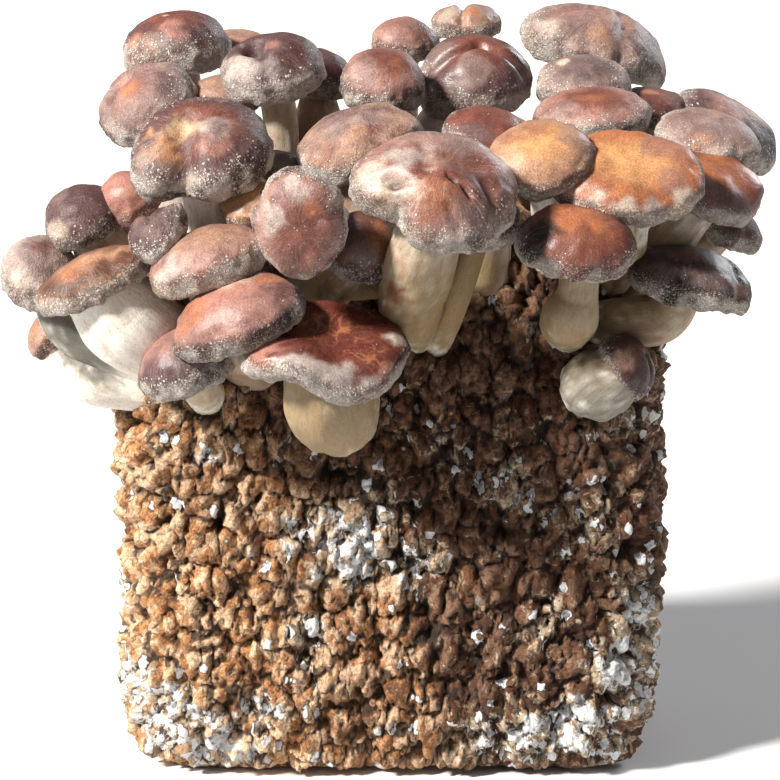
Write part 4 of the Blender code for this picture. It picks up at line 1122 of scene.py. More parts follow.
def crust_tree():
    """Lumps, chips and pits of the crust, moved out along the surface."""
    tree, inputs, outputs = new_geometry_tree("sawdust crust relief", (
        ("Lump Size", "Float", 11.0), ("Lump Rise", "Float", 3.2), ("Chip Size", "Float", 5.0),
        ("Chip Rise", "Float", 2.2), ("Crumb Rise", "Float", 0.6), ("Pit Depth", "Float", 4.0),
        ("Groove Depth", "Float", 1.3),
        ("Sideways", "Float", 1.6), ("Seed", "Float", 3.0), ("Material", "Material", None)))
    place = tree.nodes.new("GeometryNodeInputPosition").outputs[0]
    place = vector_math(tree, "SCALE", place, 1000.0)
    shift = add_node(tree, "ShaderNodeCombineXYZ", {0: inputs["Seed"], 1: inputs["Seed"]}).outputs[0]
    place = vector_math(tree, "ADD", place, vector_math(tree, "SCALE", shift, 37.0))
    place = vector_math(tree, "MULTIPLY", place, (1.0, 1.0, 0.74))

    def warped(size, reach):
        """Coordinates bent by noise of a size in millimetres."""
        colour = noise_node(tree, place, 1 / size, 3.0).outputs["Color"]
        centred = vector_math(tree, "SUBTRACT", colour, (0.5, 0.5, 0.5))
        return vector_math(tree, "ADD", place, vector_math(tree, "SCALE", centred, reach))

    def humps(vector, size):
        """Rounded cells of a size, 1 on their tops and 0 in the folds between, a number and a tilt for each."""
        away, pick, facet = cell_picks(tree, vector, calculate(tree, "DIVIDE", 1.0, size))
        far = calculate(tree, "MULTIPLY", away, 1.25, clamp=True)
        border = cell_node(tree, vector, calculate(tree, "DIVIDE", 1.0, size), "DISTANCE_TO_EDGE").outputs["Distance"]
        return calculate(tree, "SUBTRACT", 1.0, calculate(tree, "POWER", far, 2.5)), pick, facet, border

    lumps, _, lump_tilt, lump_border = humps(warped(9.0, 13.0), inputs["Lump Size"])
    chips, chip_pick, chip_tilt, chip_border = humps(warped(4.0, 5.0), inputs["Chip Size"])
    crumbs = humps(warped(2.5, 3.0), 2.4)[0]
    lump_groove = map_range(tree, lump_border, 0.12, 0.01)
    chip_groove = map_range(tree, chip_border, 0.15, 0.02)
    hollows = noise_node(tree, place, 1 / 13.0, 3.0, 0.6).outputs["Fac"]
    pits = map_range(tree, hollows, 0.56, 0.74)
    chip_high = calculate(tree, "MULTIPLY_ADD", chip_pick, 0.9, 0.35)
    rise = calculate(tree, "MULTIPLY", lumps, inputs["Lump Rise"])
    rise = calculate(tree, "ADD", rise, calculate(tree, "MULTIPLY", calculate(
        tree, "MULTIPLY", chips, chip_high), inputs["Chip Rise"]))
    rise = calculate(tree, "ADD", rise, calculate(tree, "MULTIPLY", crumbs, inputs["Crumb Rise"]))
    rise = calculate(tree, "ADD", rise, calculate(tree, "MULTIPLY", lump_tilt, 2.6))
    rise = calculate(tree, "ADD", rise, calculate(tree, "MULTIPLY", chip_tilt, 2.4))
    rise = calculate(tree, "SUBTRACT", rise, calculate(tree, "MULTIPLY", pits, inputs["Pit Depth"]))
    rise = calculate(tree, "SUBTRACT", rise, calculate(tree, "MULTIPLY", inputs["Lump Rise"], 0.55))
    rise = calculate(tree, "SUBTRACT", rise, calculate(tree, "MULTIPLY", lump_groove, inputs["Groove Depth"]))
    rise = calculate(tree, "SUBTRACT", rise, calculate(tree, "MULTIPLY", calculate(
        tree, "MULTIPLY", chip_groove, inputs["Groove Depth"]), 0.5))
    # The foot stays flat.
    high = add_node(tree, "ShaderNodeSeparateXYZ", {0: tree.nodes.new("GeometryNodeInputPosition").outputs[0]}).outputs[2]
    free = map_range(tree, high, 0.0003, 0.006)
    rise = calculate(tree, "MULTIPLY", rise, free)
    normal = tree.nodes.new("GeometryNodeInputNormal").outputs[0]
    outward = vector_math(tree, "SCALE", normal, calculate(tree, "MULTIPLY", rise, MM))
    drift = noise_node(tree, place, 1 / 5.0, 3.0, 0.6).outputs["Color"]
    drift = vector_math(tree, "SUBTRACT", drift, (0.5, 0.5, 0.5))
    reach = calculate(tree, "MULTIPLY", calculate(tree, "MULTIPLY", inputs["Sideways"], 2 * MM), free)
    offset = vector_math(tree, "ADD", outward, vector_math(tree, "SCALE", drift, reach))
    fold = calculate(tree, "MAXIMUM", lump_groove, calculate(tree, "MULTIPLY", chip_groove, 0.6))
    fold = calculate(tree, "ADD", fold, calculate(tree, "MULTIPLY", pits, 0.6), clamp=True)
    geometry = inputs["Geometry"]
    open_share = map_range(tree, fold, 0.7, 0.3)
    # crevice is how deep a point lies in a fold; the crust material paints shade there.
    for label, value in (("crevice", fold), ("chip", chip_pick), ("where", open_share)):
        geometry = add_node(tree, "GeometryNodeStoreNamedAttribute", {
            "Geometry": geometry, "Name": label, "Value": value}, data_type="FLOAT", domain="POINT").outputs[0]
    moved = add_node(tree, "GeometryNodeSetPosition", {"Geometry": geometry, "Offset": offset}).outputs[0]
    finish_tree(tree, moved, inputs["Material"], outputs["Geometry"])
    return tree


def scatter_tree(name):
    """Copies of small shapes scattered over faces where an attribute called where is high."""
    tree, inputs, outputs = new_geometry_tree(name, (
        ("Spacing", "Float", 0.001), ("Density", "Float", 1.0), ("Smallest", "Float", 0.5), ("Largest", "Float", 1.5),
        ("Tilt", "Float", 0.5), ("Lift", "Float", 0.0), ("Raggedness", "Float", 0.0), ("Seed", "Int", 1),
        ("First Shape", "Object", None), ("Second Shape", "Object", None), ("Third Shape", "Object", None),
        ("Material", "Material", None)))
    seed = inputs["Seed"]

    def chance(kind, low, high, step):
        """A random value for each copy."""
        vector = kind == "FLOAT_VECTOR"
        keys = ("Min", "Max") if vector else (2, 3)
        made = add_node(tree, "FunctionNodeRandomValue", {
            keys[0]: low, keys[1]: high, "Seed": calculate(tree, "ADD", seed, step)}, data_type=kind)
        return made.outputs[0 if vector else 1]

    where = add_node(
        tree, "GeometryNodeInputNamedAttribute", {"Name": "where"}, data_type="FLOAT").outputs["Attribute"]
    points = add_node(tree, "GeometryNodeDistributePointsOnFaces", {
        "Mesh": inputs["Geometry"], "Distance Min": inputs["Spacing"], "Density Max": inputs["Density"],
        "Density Factor": where, "Seed": seed}, distribute_method="POISSON")
    turned = add_node(tree, "FunctionNodeAlignRotationToVector", {
        "Vector": points.outputs["Normal"]}, axis="Z").outputs[0]
    spin = chance("FLOAT_VECTOR", (-1.0, -1.0, -pi), (1.0, 1.0, pi), 1)
    flat = add_node(tree, "ShaderNodeCombineXYZ", {0: inputs["Tilt"], 1: inputs["Tilt"], 2: 1.0}).outputs[0]
    spin = add_node(tree, "FunctionNodeEulerToRotation", {0: vector_math(tree, "MULTIPLY", spin, flat)}).outputs[0]
    turned = add_node(tree, "FunctionNodeRotateRotation", {
        "Rotation": turned, "Rotate By": spin}, rotation_space="LOCAL").outputs[0]
    size = vector_math(tree, "SCALE", chance("FLOAT_VECTOR", (0.65, 0.65, 0.7), (1.25, 1.25, 1.3), 2), chance(
        "FLOAT", inputs["Smallest"], inputs["Largest"], 3))
    lift = vector_math(tree, "SCALE", points.outputs["Normal"], inputs["Lift"])
    placed = add_node(tree, "GeometryNodeSetPosition", {
        "Geometry": points.outputs["Points"], "Offset": lift}).outputs[0]
    shapes = tree.nodes.new("GeometryNodeJoinGeometry")
    for label in ("Third Shape", "Second Shape", "First Shape"):
        shape = add_node(tree, "GeometryNodeObjectInfo", {"Object": inputs[label]}).outputs["Geometry"]
        shape = add_node(tree, "GeometryNodeGeometryToInstance", {"Geometry": shape}).outputs[0]
        tree.links.new(shape, shapes.inputs[0])
    copies = add_node(tree, "GeometryNodeInstanceOnPoints", {
        "Points": placed, "Instance": shapes.outputs[0], "Pick Instance": True, "Rotation": turned,
        "Scale": size}).outputs[0]
    copies = add_node(tree, "GeometryNodeStoreNamedAttribute", {
        "Geometry": copies, "Name": "chip", "Value": chance("FLOAT", 0.0, 1.0, 4)},
        data_type="FLOAT", domain="INSTANCE").outputs[0]
    whole = add_node(tree, "GeometryNodeRealizeInstances", {"Geometry": copies}).outputs[0]
    place = tree.nodes.new("GeometryNodeInputPosition").outputs[0]
    ragged = noise_node(tree, place, 330.0, 2.0).outputs["Color"]
    ragged = vector_math(tree, "SUBTRACT", ragged, (0.5, 0.5, 0.5))
    ragged = vector_math(tree, "SCALE", ragged, inputs["Raggedness"])
    whole = add_node(tree, "GeometryNodeSetPosition", {"Geometry": whole, "Offset": ragged}).outputs[0]
    finish_tree(tree, whole, inputs["Material"], outputs["Geometry"])
    return tree


def gill_tree():
    """A thin blade along each line of a mesh, as deep as the attribute deep says."""
    tree, inputs, outputs = new_geometry_tree("gill blades", (
        ("Thickness", "Float", 0.14), ("Material", "Material", None)))
    lines = add_node(tree, "GeometryNodeMeshToCurve", {"Mesh": inputs["Geometry"]}).outputs[0]
    deep = add_node(
        tree, "GeometryNodeInputNamedAttribute", {"Name": "deep"}, data_type="FLOAT").outputs["Attribute"]
    lines = add_node(tree, "GeometryNodeSetCurveRadius", {"Curve": lines, "Radius": deep}).outputs[0]
    lines = add_node(tree, "GeometryNodeSetCurveNormal", {"Curve": lines}, mode="Z_UP").outputs[0]
    width = calculate(tree, "MULTIPLY", inputs["Thickness"], MM)
    blade = add_node(tree, "GeometryNodeCurvePrimitiveQuadrilateral", {"Width": width, "Height": MM}).outputs[0]
    blades = add_node(tree, "GeometryNodeCurveToMesh", {
        "Curve": lines, "Profile Curve": blade, "Fill Caps": True}).outputs[0]
    finish_tree(tree, blades, inputs["Material"], outputs["Geometry"])
    return tree


def rounded_outline(half_width, half_depth, corner, turn):
    """x and y of a rounded rectangle for a turn of 0 to 1 round it."""
    straight_x = half_width - corner
    straight_y = half_depth - corner
    arc = corner * pi / 2
    left = (turn % 1.0) * 4 * (straight_x + straight_y + arc)
    for quarter in range(4):
        along_first, along_second = (straight_y, straight_x) if quarter % 2 == 0 else (straight_x, straight_y)
        length = along_first + arc + along_second
        if left > length and quarter < 3:
            left -= length
            continue
        if left <= along_first:
            x, y = along_second + corner, left
        elif left <= along_first + arc:
            angle = (left - along_first) / corner
            x, y = along_second + corner * cos(angle), along_first + corner * sin(angle)
        else:
            x, y = along_second - (left - along_first - arc), along_first + corner
        return ((x, y), (-y, x), (-x, -y), (y, -x))[quarter]


def block_skin():
    """The bare block: its wall with the rounded edges, its domed top and its flat base."""
    ring_high, ring_in = np.array(BLOCK_RINGS).T
    walk = np.concatenate([[0], np.cumsum(np.hypot(np.diff(ring_high), np.diff(ring_in)))])
    steps = np.linspace(0, walk[-1], BLOCK_ROWS)
    heights, insets = np.interp(steps, walk, ring_high), np.interp(steps, walk, ring_in) + BLOCK_INSET
    places = np.arange(BLOCK_COLUMNS) / BLOCK_COLUMNS
    places -= BLOCK_FRONT_SHARE * np.sin(2 * pi * (places - 0.75)) / (2 * pi)
    wall = np.zeros((BLOCK_ROWS, BLOCK_COLUMNS, 3))
    for row, (height, inset) in enumerate(zip(heights, insets)):
        corner = max(BLOCK_CORNER - inset, BLOCK_CORNER_LEAST)
        for column, place in enumerate(places):
            x, y = rounded_outline(BLOCK_WIDTH / 2 - inset, BLOCK_DEPTH / 2 - inset, corner, place)
            wall[row, column] = (x, y, height)
    flat = wall * np.array([1.0, 1.0, 0])
    away = flat / np.linalg.norm(flat, axis=-1, keepdims=True)
    wall += away * (2.4 * rough_noise(wall / 42.0, 5) * ramp(wall[..., 2], 2, 20))[..., None]
    top_share, top_high = np.array(BLOCK_TOP).T
    rows = [wall[0] * np.array([share, share, 0]) for share in (0.4, 0.8)] + list(wall)
    for share in BLOCK_TOP_SHARES:
        ring = wall[-1] * np.array([share, share, 0])
        ring[:, 2] = BLOCK_HEIGHT + np.interp(share, top_share, top_high)
        rows.append(ring)
    points = np.concatenate(rows + [np.zeros((1, 3)), np.array([[0, 0, BLOCK_HEIGHT + BLOCK_DOME]])])
    skin = Skin()
    skin.add(points, facing_out(points, tube_faces(len(rows), BLOCK_COLUMNS)))
    return skin


def set_values(piece, name, values):
    """Writes a number for each point of a piece."""
    mesh = piece.data
    if name in mesh.attributes:
        mesh.attributes.remove(mesh.attributes[name])
    mesh.attributes.new(name, "FLOAT", "POINT").data.foreach_set("value", values)


def values_of(piece, name):
    values = np.zeros(len(piece.data.vertices))
    piece.data.attributes[name].data.foreach_get("value", values)
    return values


def points_of(piece):
    flat = np.zeros(len(piece.data.vertices) * 3)
    piece.data.vertices.foreach_get("co", flat)
    return flat.reshape(-1, 3) / MM


def put_points(piece, points):
    piece.data.vertices.foreach_set("co", (points * MM).ravel())
    piece.data.update()


def hand_over(piece, slot, *nodes):
    """Hangs a piece on its body and hides the nodes that it stands for; slot, its finish, is not used."""
    piece.data.polygons.foreach_set("use_smooth", [True] * len(piece.data.polygons))
    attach(piece, "root")
    if nodes:
        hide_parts(*nodes)


def remove_object(piece):
    mesh = piece.data
    bpy.data.objects.remove(piece, do_unlink=True)
    bpy.data.meshes.remove(mesh)


def crumb(seed):
    """A rounded, uneven crumb of sawdust, one millimetre in size and flatter below."""
    rings = ((0.4, -0.14), (0.54, 0.07), (0.37, 0.3))
    columns = 7
    points = []
    for ring, (reach, high) in enumerate(rings):
        for column in range(columns):
            turn = 2 * pi * (column + 0.5 * (ring % 2)) / columns
            uneven = 1 + 0.2 * sin(2 * turn + seed) + 0.14 * sin(3 * turn + 2.3 * seed + ring)
            points.append((reach * uneven * cos(turn), reach * uneven * sin(turn), high * (1.1 - 0.2 * sin(turn * 2 + seed))))
    points += [(0.03, 0.02, -0.24), (0.05 * sin(seed), 0.04, 0.42)]
    points = np.array(points)
    skin = Skin()
    # under is high on the crumb's lower side, where the crust material paints shade.
    under = np.array([0.8] * 7 + [0.25] * 7 + [0.0] * 7 + [1.0, 0.0])
    skin.add(points, facing_out(points, tube_faces(len(rings), columns)), under=under, polar=points + 0.1)
    return skin.make("crumb", [])


def curled_flake(seed):
    """A thin flake of wood with raised, uneven edges, one millimetre in size."""
    # under is highest at the flake's middle and its lowest point, where the crust material paints shade.
    points, under = [], []
    for i in range(4):
        for j in range(3):
            u, v = (i - 1.5) / 1.5, j - 1.0
            wide = 0.42 * (1 - 0.2 * u * u) * (1 + 0.15 * sin(5 * i + seed))
            high = 0.3 * u * u * (1 + 0.5 * sin(seed + j)) + (0.22 + 0.1 * sin(2 * seed)) * v * v
            points.append((0.6 * u + 0.08 * v * sin(seed), wide * v, high))
            under.append(0.35 * (1 - max(abs(u), abs(v))))
    points.append((0.0, 0.0, -0.2))
    under.append(0.9)
    faces = []
    for i in range(3):
        for j in range(2):
            a = i * 3 + j
            faces.append((a, a + 3, a + 4, a + 1))
    border = (0, 3, 6, 9, 10, 11, 8, 5, 2, 1)
    for first, second in zip(border, border[1:] + border[:1]):
        faces.append((second, first, 12))
    points = np.array(points)
    skin = Skin()
    skin.add(points, facing_out(points, faces), under=np.array(under), polar=points + np.array([0, 0, 0.3]))
    return skin.make("flake", [])


def small_scale(seed):
    """A thin scale with an uneven edge, one millimetre in size."""
    edge = [0.48 + 0.1 * sin(seed + 2.1 * i) for i in range(6)]
    points = [(reach * cos(i * pi / 3), reach * sin(i * pi / 3), 0.02) for i, reach in enumerate(edge)]
    points += [(0.05, 0.02, 0.17), (0.0, 0.0, -0.12)]
    faces = []
    for i in range(6):
        faces.append((i, (i + 1) % 6, 6))
        faces.append(((i + 1) % 6, i, 7))
    skin = Skin()
    skin.add(np.array(points), facing_out(np.array(points), faces))
    return skin.make("small scale", [])


class BlockSettings(bpy.types.PropertyGroup):
    """Relief and colours of the sawdust block."""

    lump_size: FloatProperty(name="Lump size", description="Width of a lump of the crust", default=0.0095, unit="LENGTH")
    lump_rise: FloatProperty(name="Lump rise", description="How far a lump stands out", default=0.0042, unit="LENGTH")
    chip_size: FloatProperty(name="Chip size", description="Width of a chip of the crust", default=0.0044, unit="LENGTH")
    chip_rise: FloatProperty(name="Chip rise", description="How far a chip stands out", default=0.0027, unit="LENGTH")
    pit_depth: FloatProperty(name="Pit depth", description="Depth of the holes in the crust", default=0.0046, unit="LENGTH")
    crumb_spacing: FloatProperty(
        name="Crumb spacing", description="Least way from one large crumb to the next", default=0.0056, unit="LENGTH")
    flake_spacing: FloatProperty(
        name="Flake spacing", description="Least way from one flake to the next", default=0.0024, unit="LENGTH")
    fleck_share: FloatProperty(name="White flecks", description="Share of the crust with white flecks", default=0.075)
    dark_colour: FloatVectorProperty(
        name="Dark sawdust", description="Colour of the darkest chips", default=(0.25, 0.115, 0.052), subtype="COLOR")
    chip_colour: FloatVectorProperty(
        name="Sawdust", description="Colour of most chips", default=(0.62, 0.305, 0.125), subtype="COLOR")
    pale_colour: FloatVectorProperty(
        name="Pale sawdust", description="Colour of the palest chips", default=(0.97, 0.7, 0.47), subtype="COLOR")
    cream_colour: FloatVectorProperty(
        name="Cream threads", description="Colour round the white patches", default=(0.68, 0.53, 0.36), subtype="COLOR")
    white_colour: FloatVectorProperty(
        name="White threads", description="Colour of the white patches", default=(0.93, 0.94, 0.96), subtype="COLOR")
    # shade_and_outline_colour: the painted shade in crevices and under crumbs and flakes, and the dark outline round
    # each white fleck.
    shade_and_outline_colour: FloatVectorProperty(
        name="Crevices", description="Colour deep between the chips", default=(0.022, 0.011, 0.006), subtype="COLOR")


class MushroomSettings(bpy.types.PropertyGroup):
    """Gills, scales and flecks of the mushrooms."""

    gills: IntProperty(name="Gills", description="Gills under the largest cap", default=60, min=12)
    gill_depth: FloatProperty(name="Gill depth", description="Depth of a gill", default=0.0022, unit="LENGTH")
    scale_spacing: FloatProperty(
        name="Scale spacing", description="Least way from one scale of the rim to the next", default=0.0015,
        unit="LENGTH")
    fleck_colour: FloatVectorProperty(
        name="Flecks", description="Colour of the flecks and scales on the caps", default=(0.72, 0.66, 0.6),
        subtype="COLOR")
    bloom_colour: FloatVectorProperty(
        name="Bloom", description="Colour of the pale bloom near the rims", default=(0.68, 0.6, 0.53),
        subtype="COLOR")


class StageSettings(bpy.types.PropertyGroup):
    """Floor, light and camera."""

    floor_colour: FloatVectorProperty(
        name="Floor", description="Colour of the floor", default=(0.86, 0.86, 0.86), subtype="COLOR")
    front_colour: FloatVectorProperty(
        name="Front of the floor", description="Colour of the floor towards the camera", default=(0.33, 0.33, 0.33),
        subtype="COLOR")
    key_power: FloatProperty(name="Key light", description="Strength of the main light", default=7.4, min=0.0)
    rim_power: FloatProperty(name="Rim light", description="Strength of the light from behind", default=1.6, min=0.0)
    fill_power: FloatProperty(name="Fill light", description="Strength of the light from all round", default=0.18, min=0.0)


class SHIITAKE_OT_block(bpy.types.Operator):
    """Make the sawdust block with its flaky crust"""

    bl_idname = "shiitake.block"
    bl_label = "Sawdust Block"

    def execute(self, context):
        look = context.scene.shiitake_block
        material = crust_material(look)
        bare = block_skin().make("bare block", [material])
        tree = crust_tree()
        crust = run_tree(bare, tree, {
            "Lump Size": look.lump_size / MM, "Lump Rise": look.lump_rise / MM, "Chip Size": look.chip_size / MM,
            "Chip Rise": look.chip_rise / MM, "Pit Depth": look.pit_depth / MM, "Material": material}, "sawdust_crust")
        remove_object(bare)
        points = points_of(crust)
        low_z = points[:, 2] < 0.3
        points = keep_in_box(points)
        points[low_z, 2] = 0.0
        put_points(crust, points)
        white = np.zeros(len(points))
        for x, y, z, radius, strength in WHITE_PATCHES:
            away = np.linalg.norm((points - np.array((x, y, z))) * np.array([1, 0.7, 1]), axis=1)
            away += radius * 0.5 * rough_noise(points / 6.0, 31)
            white = np.maximum(white, strength * (1 - ramp(away, 0.4 * radius, 1.5 * radius)))
        set_values(crust, "white", white)
        x, y, z = points.T
        # painted_shade: on the front, right of the edge, it paints the caps' cast shadow, with a weaker darkening up to
        # 75 mm left of the edge; the back half is darkened too, with noise all round.
        painted_shade = ramp(x - np.interp(z, PAINTED_SHADE_HEIGHTS, PAINTED_SHADE_EDGE) + 5 * rough_noise(points / 14.0, 8), -7, 9)
        painted_shade = np.maximum(painted_shade, 0.42 * ramp(x - np.interp(z, PAINTED_SHADE_HEIGHTS, PAINTED_SHADE_EDGE), -75, -20))
        painted_shade = painted_shade * ramp(-y, 0, 40) + 0.6 * ramp(y, -40, 0) + 0.2 * rough_noise(points / 25.0, 9)
        set_values(crust, "painted_shade", np.clip(painted_shade, 0, 1))
        set_values(crust, "where", values_of(crust, "where") * (z > 3))
        hand_over(crust, "sawdust", "sawdust_block")
        return {"FINISHED"}


class SHIITAKE_OT_crumbs(bpy.types.Operator):
    """Scatter crumbs and curled flakes of sawdust over the crust"""

    bl_idname = "shiitake.crumbs"
    bl_label = "Crumbs and Flakes"

    def execute(self, context):
        look = context.scene.shiitake_block
        crust = bpy.data.objects["sawdust_crust"]
        where, painted_shade = values_of(crust, "where"), values_of(crust, "painted_shade")
        x, y, z = points_of(crust).T
        front = (0.3 + 0.7 * ramp(-y, 20, 50)) * (0.3 + 0.7 * ramp(z, 182, 168))
        kinds = (
            ("crumbs", crumb, (1.0, 2.6, 4.4), look.crumb_spacing, 0.004, 0.009, 0.5, -0.0004, 0.0016, 3,
             front * (1 - 0.35 * painted_shade)),
            ("flakes", curled_flake, (0.3, 1.9, 3.4), look.flake_spacing, 0.003, 0.0085, 0.65, 0.0009, 0.001, 14, front))
        for name, shape, seeds, spacing, smallest, largest, tilt, lift, ragged, seed, share in kinds:
            set_values(crust, "where", where * share)
            shapes = [shape(number) for number in seeds]
            made = run_tree(crust, scatter_tree(name), {
                "Spacing": spacing, "Density": 3 / spacing**2, "Smallest": smallest, "Largest": largest, "Tilt": tilt,
                "Lift": lift, "Raggedness": ragged, "Seed": seed, "First Shape": shapes[0], "Second Shape": shapes[1],
                "Third Shape": shapes[2], "Material": crust.data.materials[0]}, "sawdust_" + name)
            for part in shapes:
                remove_object(part)
            put_points(made, keep_in_box(points_of(made)))
            hand_over(made, "sawdust")
            made.data.polygons.foreach_set("use_smooth", [False] * len(made.data.polygons))
        return {"FINISHED"}


class SHIITAKE_OT_mushrooms(bpy.types.Operator):
    """Make the caps and the stems"""

    bl_idname = "shiitake.mushrooms"
    bl_label = "Caps and Stems"

    def execute(self, context):
        cap_skin_material = cap_material(context.scene.shiitake_mushrooms)
        flesh = stem_material()
        for mushroom in MUSHROOMS:
            number = mushroom.number
            skin = Skin()
            cap_skin(mushroom, skin)
            if not mushroom.stem_shows:
                stem_skin(mushroom, skin, 1)
                piece = skin.make("shiitake_" + number, [cap_skin_material, flesh])
                hand_over(piece, "cap_skin", "mushroom_" + number)
                continue
            hand_over(skin.make("shiitake_cap_" + number, [cap_skin_material]), "cap_skin", "cap_" + number)
            skin = Skin()
            stem_skin(mushroom, skin)
            hand_over(skin.make("shiitake_stem_" + number, [flesh]), "stem_flesh", "stem_" + number)
        return {"FINISHED"}


class SHIITAKE_OT_gills(bpy.types.Operator):
    """Make the gills under the caps"""

    bl_idname = "shiitake.gills"
    bl_label = "Gills"

    def execute(self, context):
        look = context.scene.shiitake_mushrooms
        points, edges, deep, owner = [], [], [], []
        reaches = np.array([0.2, 0.4, 0.6, 0.74, 0.82])
        depths = np.array([0.5, 1.0, 1.0, 0.8, 0.3])
        widest = max(mushroom.size[0] for mushroom in MUSHROOMS)
        for index, mushroom in enumerate(MUSHROOMS):
            half_width = mushroom.size[0]
            roll = min(RIM_ROLL_MOST, RIM_ROLL * half_width)
            count = int(look.gills * (0.4 + 0.6 * half_width / widest))
            for gill in range(count):
                short = gill % 2
                angle = np.full(len(reaches), 360.0 * gill / count)
                level = -RIM_REST * roll * reaches - 0.3 * depths
                line = cap_points(mushroom, angle, reaches, level, False)[2 * short:]
                first = len(points)
                points += (line * MM).tolist()
                edges += [(first + i, first + i + 1) for i in range(len(line) - 1)]
                deep += (depths[2 * short:] * min(look.gill_depth / MM, 0.55 * roll)).tolist()
                owner += [index] * len(line)
        mesh = bpy.data.meshes.new("gill lines")
        mesh.from_pydata(points, edges, [])
        mesh.attributes.new("deep", "FLOAT", "POINT").data.foreach_set("value", deep)
        mesh.attributes.new("owner", "INT", "POINT").data.foreach_set("value", owner)
        lines = link_object("gill lines", mesh)
        gills = run_tree(lines, gill_tree(), {"Material": gill_material()}, "gills")
        remove_object(lines)
        placed = points_of(gills)
        owners = np.zeros(len(placed), dtype=np.int32)
        gills.data.attributes["owner"].data.foreach_get("value", owners)
        for index, mushroom in enumerate(MUSHROOMS):
            own = owners == index
            placed[own] = into_place(mushroom, placed[own])
        put_points(gills, keep_in_box(placed))
        hand_over(gills, "cap_skin")
        return {"FINISHED"}


class SHIITAKE_OT_scales(bpy.types.Operator):
    """Scatter small loose scales over the outer part of the caps"""

    bl_idname = "shiitake.scales"
    bl_label = "Cap Scales"

    def execute(self, context):
        look = context.scene.shiitake_mushrooms
        skin = Skin()
        for mushroom in MUSHROOMS:
            cap_skin(mushroom, skin)
        zone, fleck = skin.values["zone"], skin.values["fleck"]
        where = np.clip(0.25 * ramp(zone, 0.9, 1.0) + 1.2 * fleck * ramp(zone, 0.78, 1.0), 0, 1) * (1 - ramp(zone, 1.4, 1.6))
        skin.values = {"where": where}
        caps = skin.make("all caps", [])
        shapes = [curled_flake(0.7), small_scale(1.3), curled_flake(2.9)]
        spacing = look.scale_spacing
        scales = run_tree(caps, scatter_tree("scales"), {
            "Spacing": spacing, "Density": 2 / spacing**2, "Smallest": 0.0009, "Largest": 0.0034, "Tilt": 0.45,
            "Seed": 5, "First Shape": shapes[0], "Second Shape": shapes[1], "Third Shape": shapes[2],
            "Material": scale_material(look)}, "cap_scales")
        for part in [caps] + shapes:
            remove_object(part)
        put_points(scales, keep_in_box(points_of(scales)))
        hand_over(scales, "cap_skin")
        return {"FINISHED"}


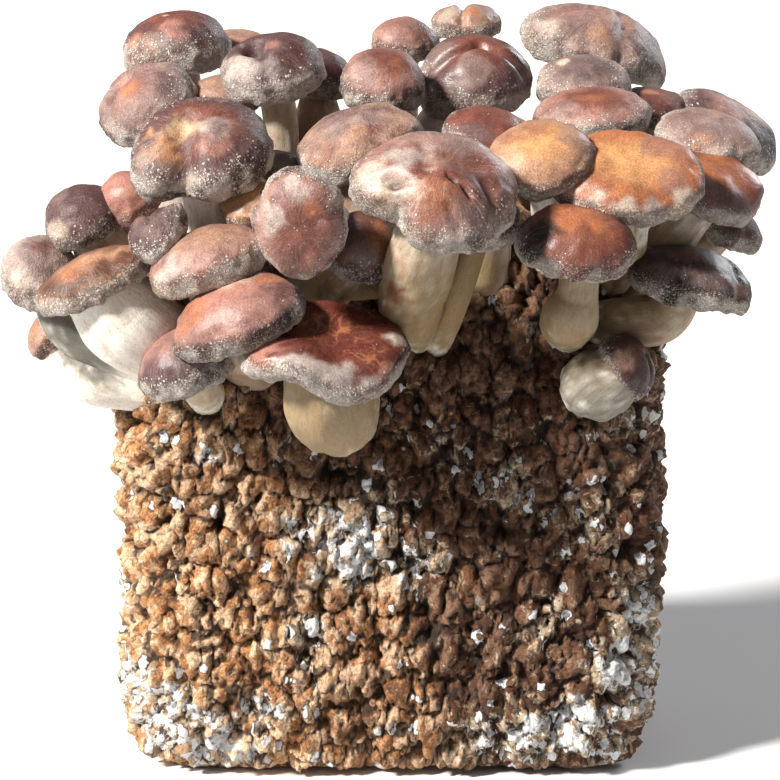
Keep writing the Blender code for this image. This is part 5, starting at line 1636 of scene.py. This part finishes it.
class SHIITAKE_OT_stage(bpy.types.Operator):
    """Make the floor, the lights and the camera"""

    bl_idname = "shiitake.stage"
    bl_label = "Stage"

    def execute(self, context):
        look = context.scene.shiitake_stage
        scene = context.scene
        material, tree, shader, place = new_material("pale floor")
        cloud = noise_node(tree, place, 1.4, 3.0).outputs["Fac"]
        tone = mix_colour(tree, cloud, [part * 0.97 for part in look.floor_colour], look.floor_colour)
        depth = add_node(tree, "ShaderNodeSeparateXYZ", {0: place}).outputs[1]
        tone = mix_colour(tree, map_range(tree, depth, -0.09, -0.3), tone, look.front_colour)
        tree.links.new(tone, shader.inputs["Base Color"])
        shader.inputs["Roughness"].default_value = 0.9
        mesh = bpy.data.meshes.new("floor")
        mesh.from_pydata([(-9, -4, -0.0002), (9, -4, -0.0002), (9, 14, -0.0002), (-9, 14, -0.0002)], [], [(0, 1, 2, 3)])
        mesh.materials.append(material)
        link_object("floor", mesh)

        world = bpy.data.worlds.new("soft room")
        world.use_nodes = True
        world.node_tree.nodes["Background"].inputs["Color"].default_value = (0.94, 0.96, 1.0, 1.0)
        world.node_tree.nodes["Background"].inputs["Strength"].default_value = look.fill_power
        scene.world = world

        lights = (
            ("key", look.key_power, 9, (1.0, 0.965, 0.91), (-0.66, -0.45, 0.61)),
            ("rim", look.rim_power, 20, (0.95, 0.97, 1.0), (0.6, 0.75, 0.42)))
        for name, power, spread, colour, towards in lights:
            light = bpy.data.lights.new(name, "SUN")
            light.energy = power
            light.angle = radians(spread)
            light.color = colour
            lamp = bpy.data.objects.new(name, light)
            scene.collection.objects.link(lamp)
            lamp.rotation_mode = "QUATERNION"
            lamp.rotation_quaternion = Vector(towards).to_track_quat("Z", "Y")
            lamp.location = towards

        lens = bpy.data.cameras.new("camera")
        lens.lens = 139.6
        lens.sensor_width = 36.0
        lens.clip_end = 60.0
        camera = bpy.data.objects.new("camera", lens)
        scene.collection.objects.link(camera)
        tilt = radians(12)
        target = Vector((0, 0, 0.1286))
        back = Vector((0, -cos(tilt), sin(tilt)))
        camera.location = target + back * 1.1
        camera.rotation_mode = "QUATERNION"
        camera.rotation_quaternion = back.to_track_quat("Z", "Y")
        scene.camera = camera
        scene.view_settings.view_transform = "Standard"
        return {"FINISHED"}


class SHIITAKE_PT_panel(bpy.types.Panel):
    bl_label = "Shiitake Log"
    bl_idname = "SHIITAKE_PT_panel"
    bl_space_type = "VIEW_3D"
    bl_region_type = "UI"
    bl_category = "Shiitake Log"

    def draw(self, context):
        for operator in OPERATORS:
            self.layout.operator(operator.bl_idname)
        for settings in (context.scene.shiitake_block, context.scene.shiitake_mushrooms, context.scene.shiitake_stage):
            box = self.layout.box()
            for name in settings.bl_rna.properties.keys():
                if name not in ("name", "rna_type"):
                    box.prop(settings, name)


OPERATORS = (
    SHIITAKE_OT_stage, SHIITAKE_OT_block, SHIITAKE_OT_crumbs, SHIITAKE_OT_mushrooms, SHIITAKE_OT_gills,
    SHIITAKE_OT_scales)
CLASSES = (BlockSettings, MushroomSettings, StageSettings) + OPERATORS + (SHIITAKE_PT_panel,)


def register():
    for made in CLASSES:
        bpy.utils.register_class(made)
    bpy.types.Scene.shiitake_block = PointerProperty(type=BlockSettings)
    bpy.types.Scene.shiitake_mushrooms = PointerProperty(type=MushroomSettings)
    bpy.types.Scene.shiitake_stage = PointerProperty(type=StageSettings)


def unregister():
    del bpy.types.Scene.shiitake_stage
    del bpy.types.Scene.shiitake_mushrooms
    del bpy.types.Scene.shiitake_block
    for made in reversed(CLASSES):
        bpy.utils.unregister_class(made)


def main():
    register()
    bpy.ops.shiitake.stage()
    bpy.ops.shiitake.block()
    bpy.ops.shiitake.crumbs()
    bpy.ops.shiitake.mushrooms()
    bpy.ops.shiitake.gills()
    bpy.ops.shiitake.scales()


if __name__ == "__main__":
    main()
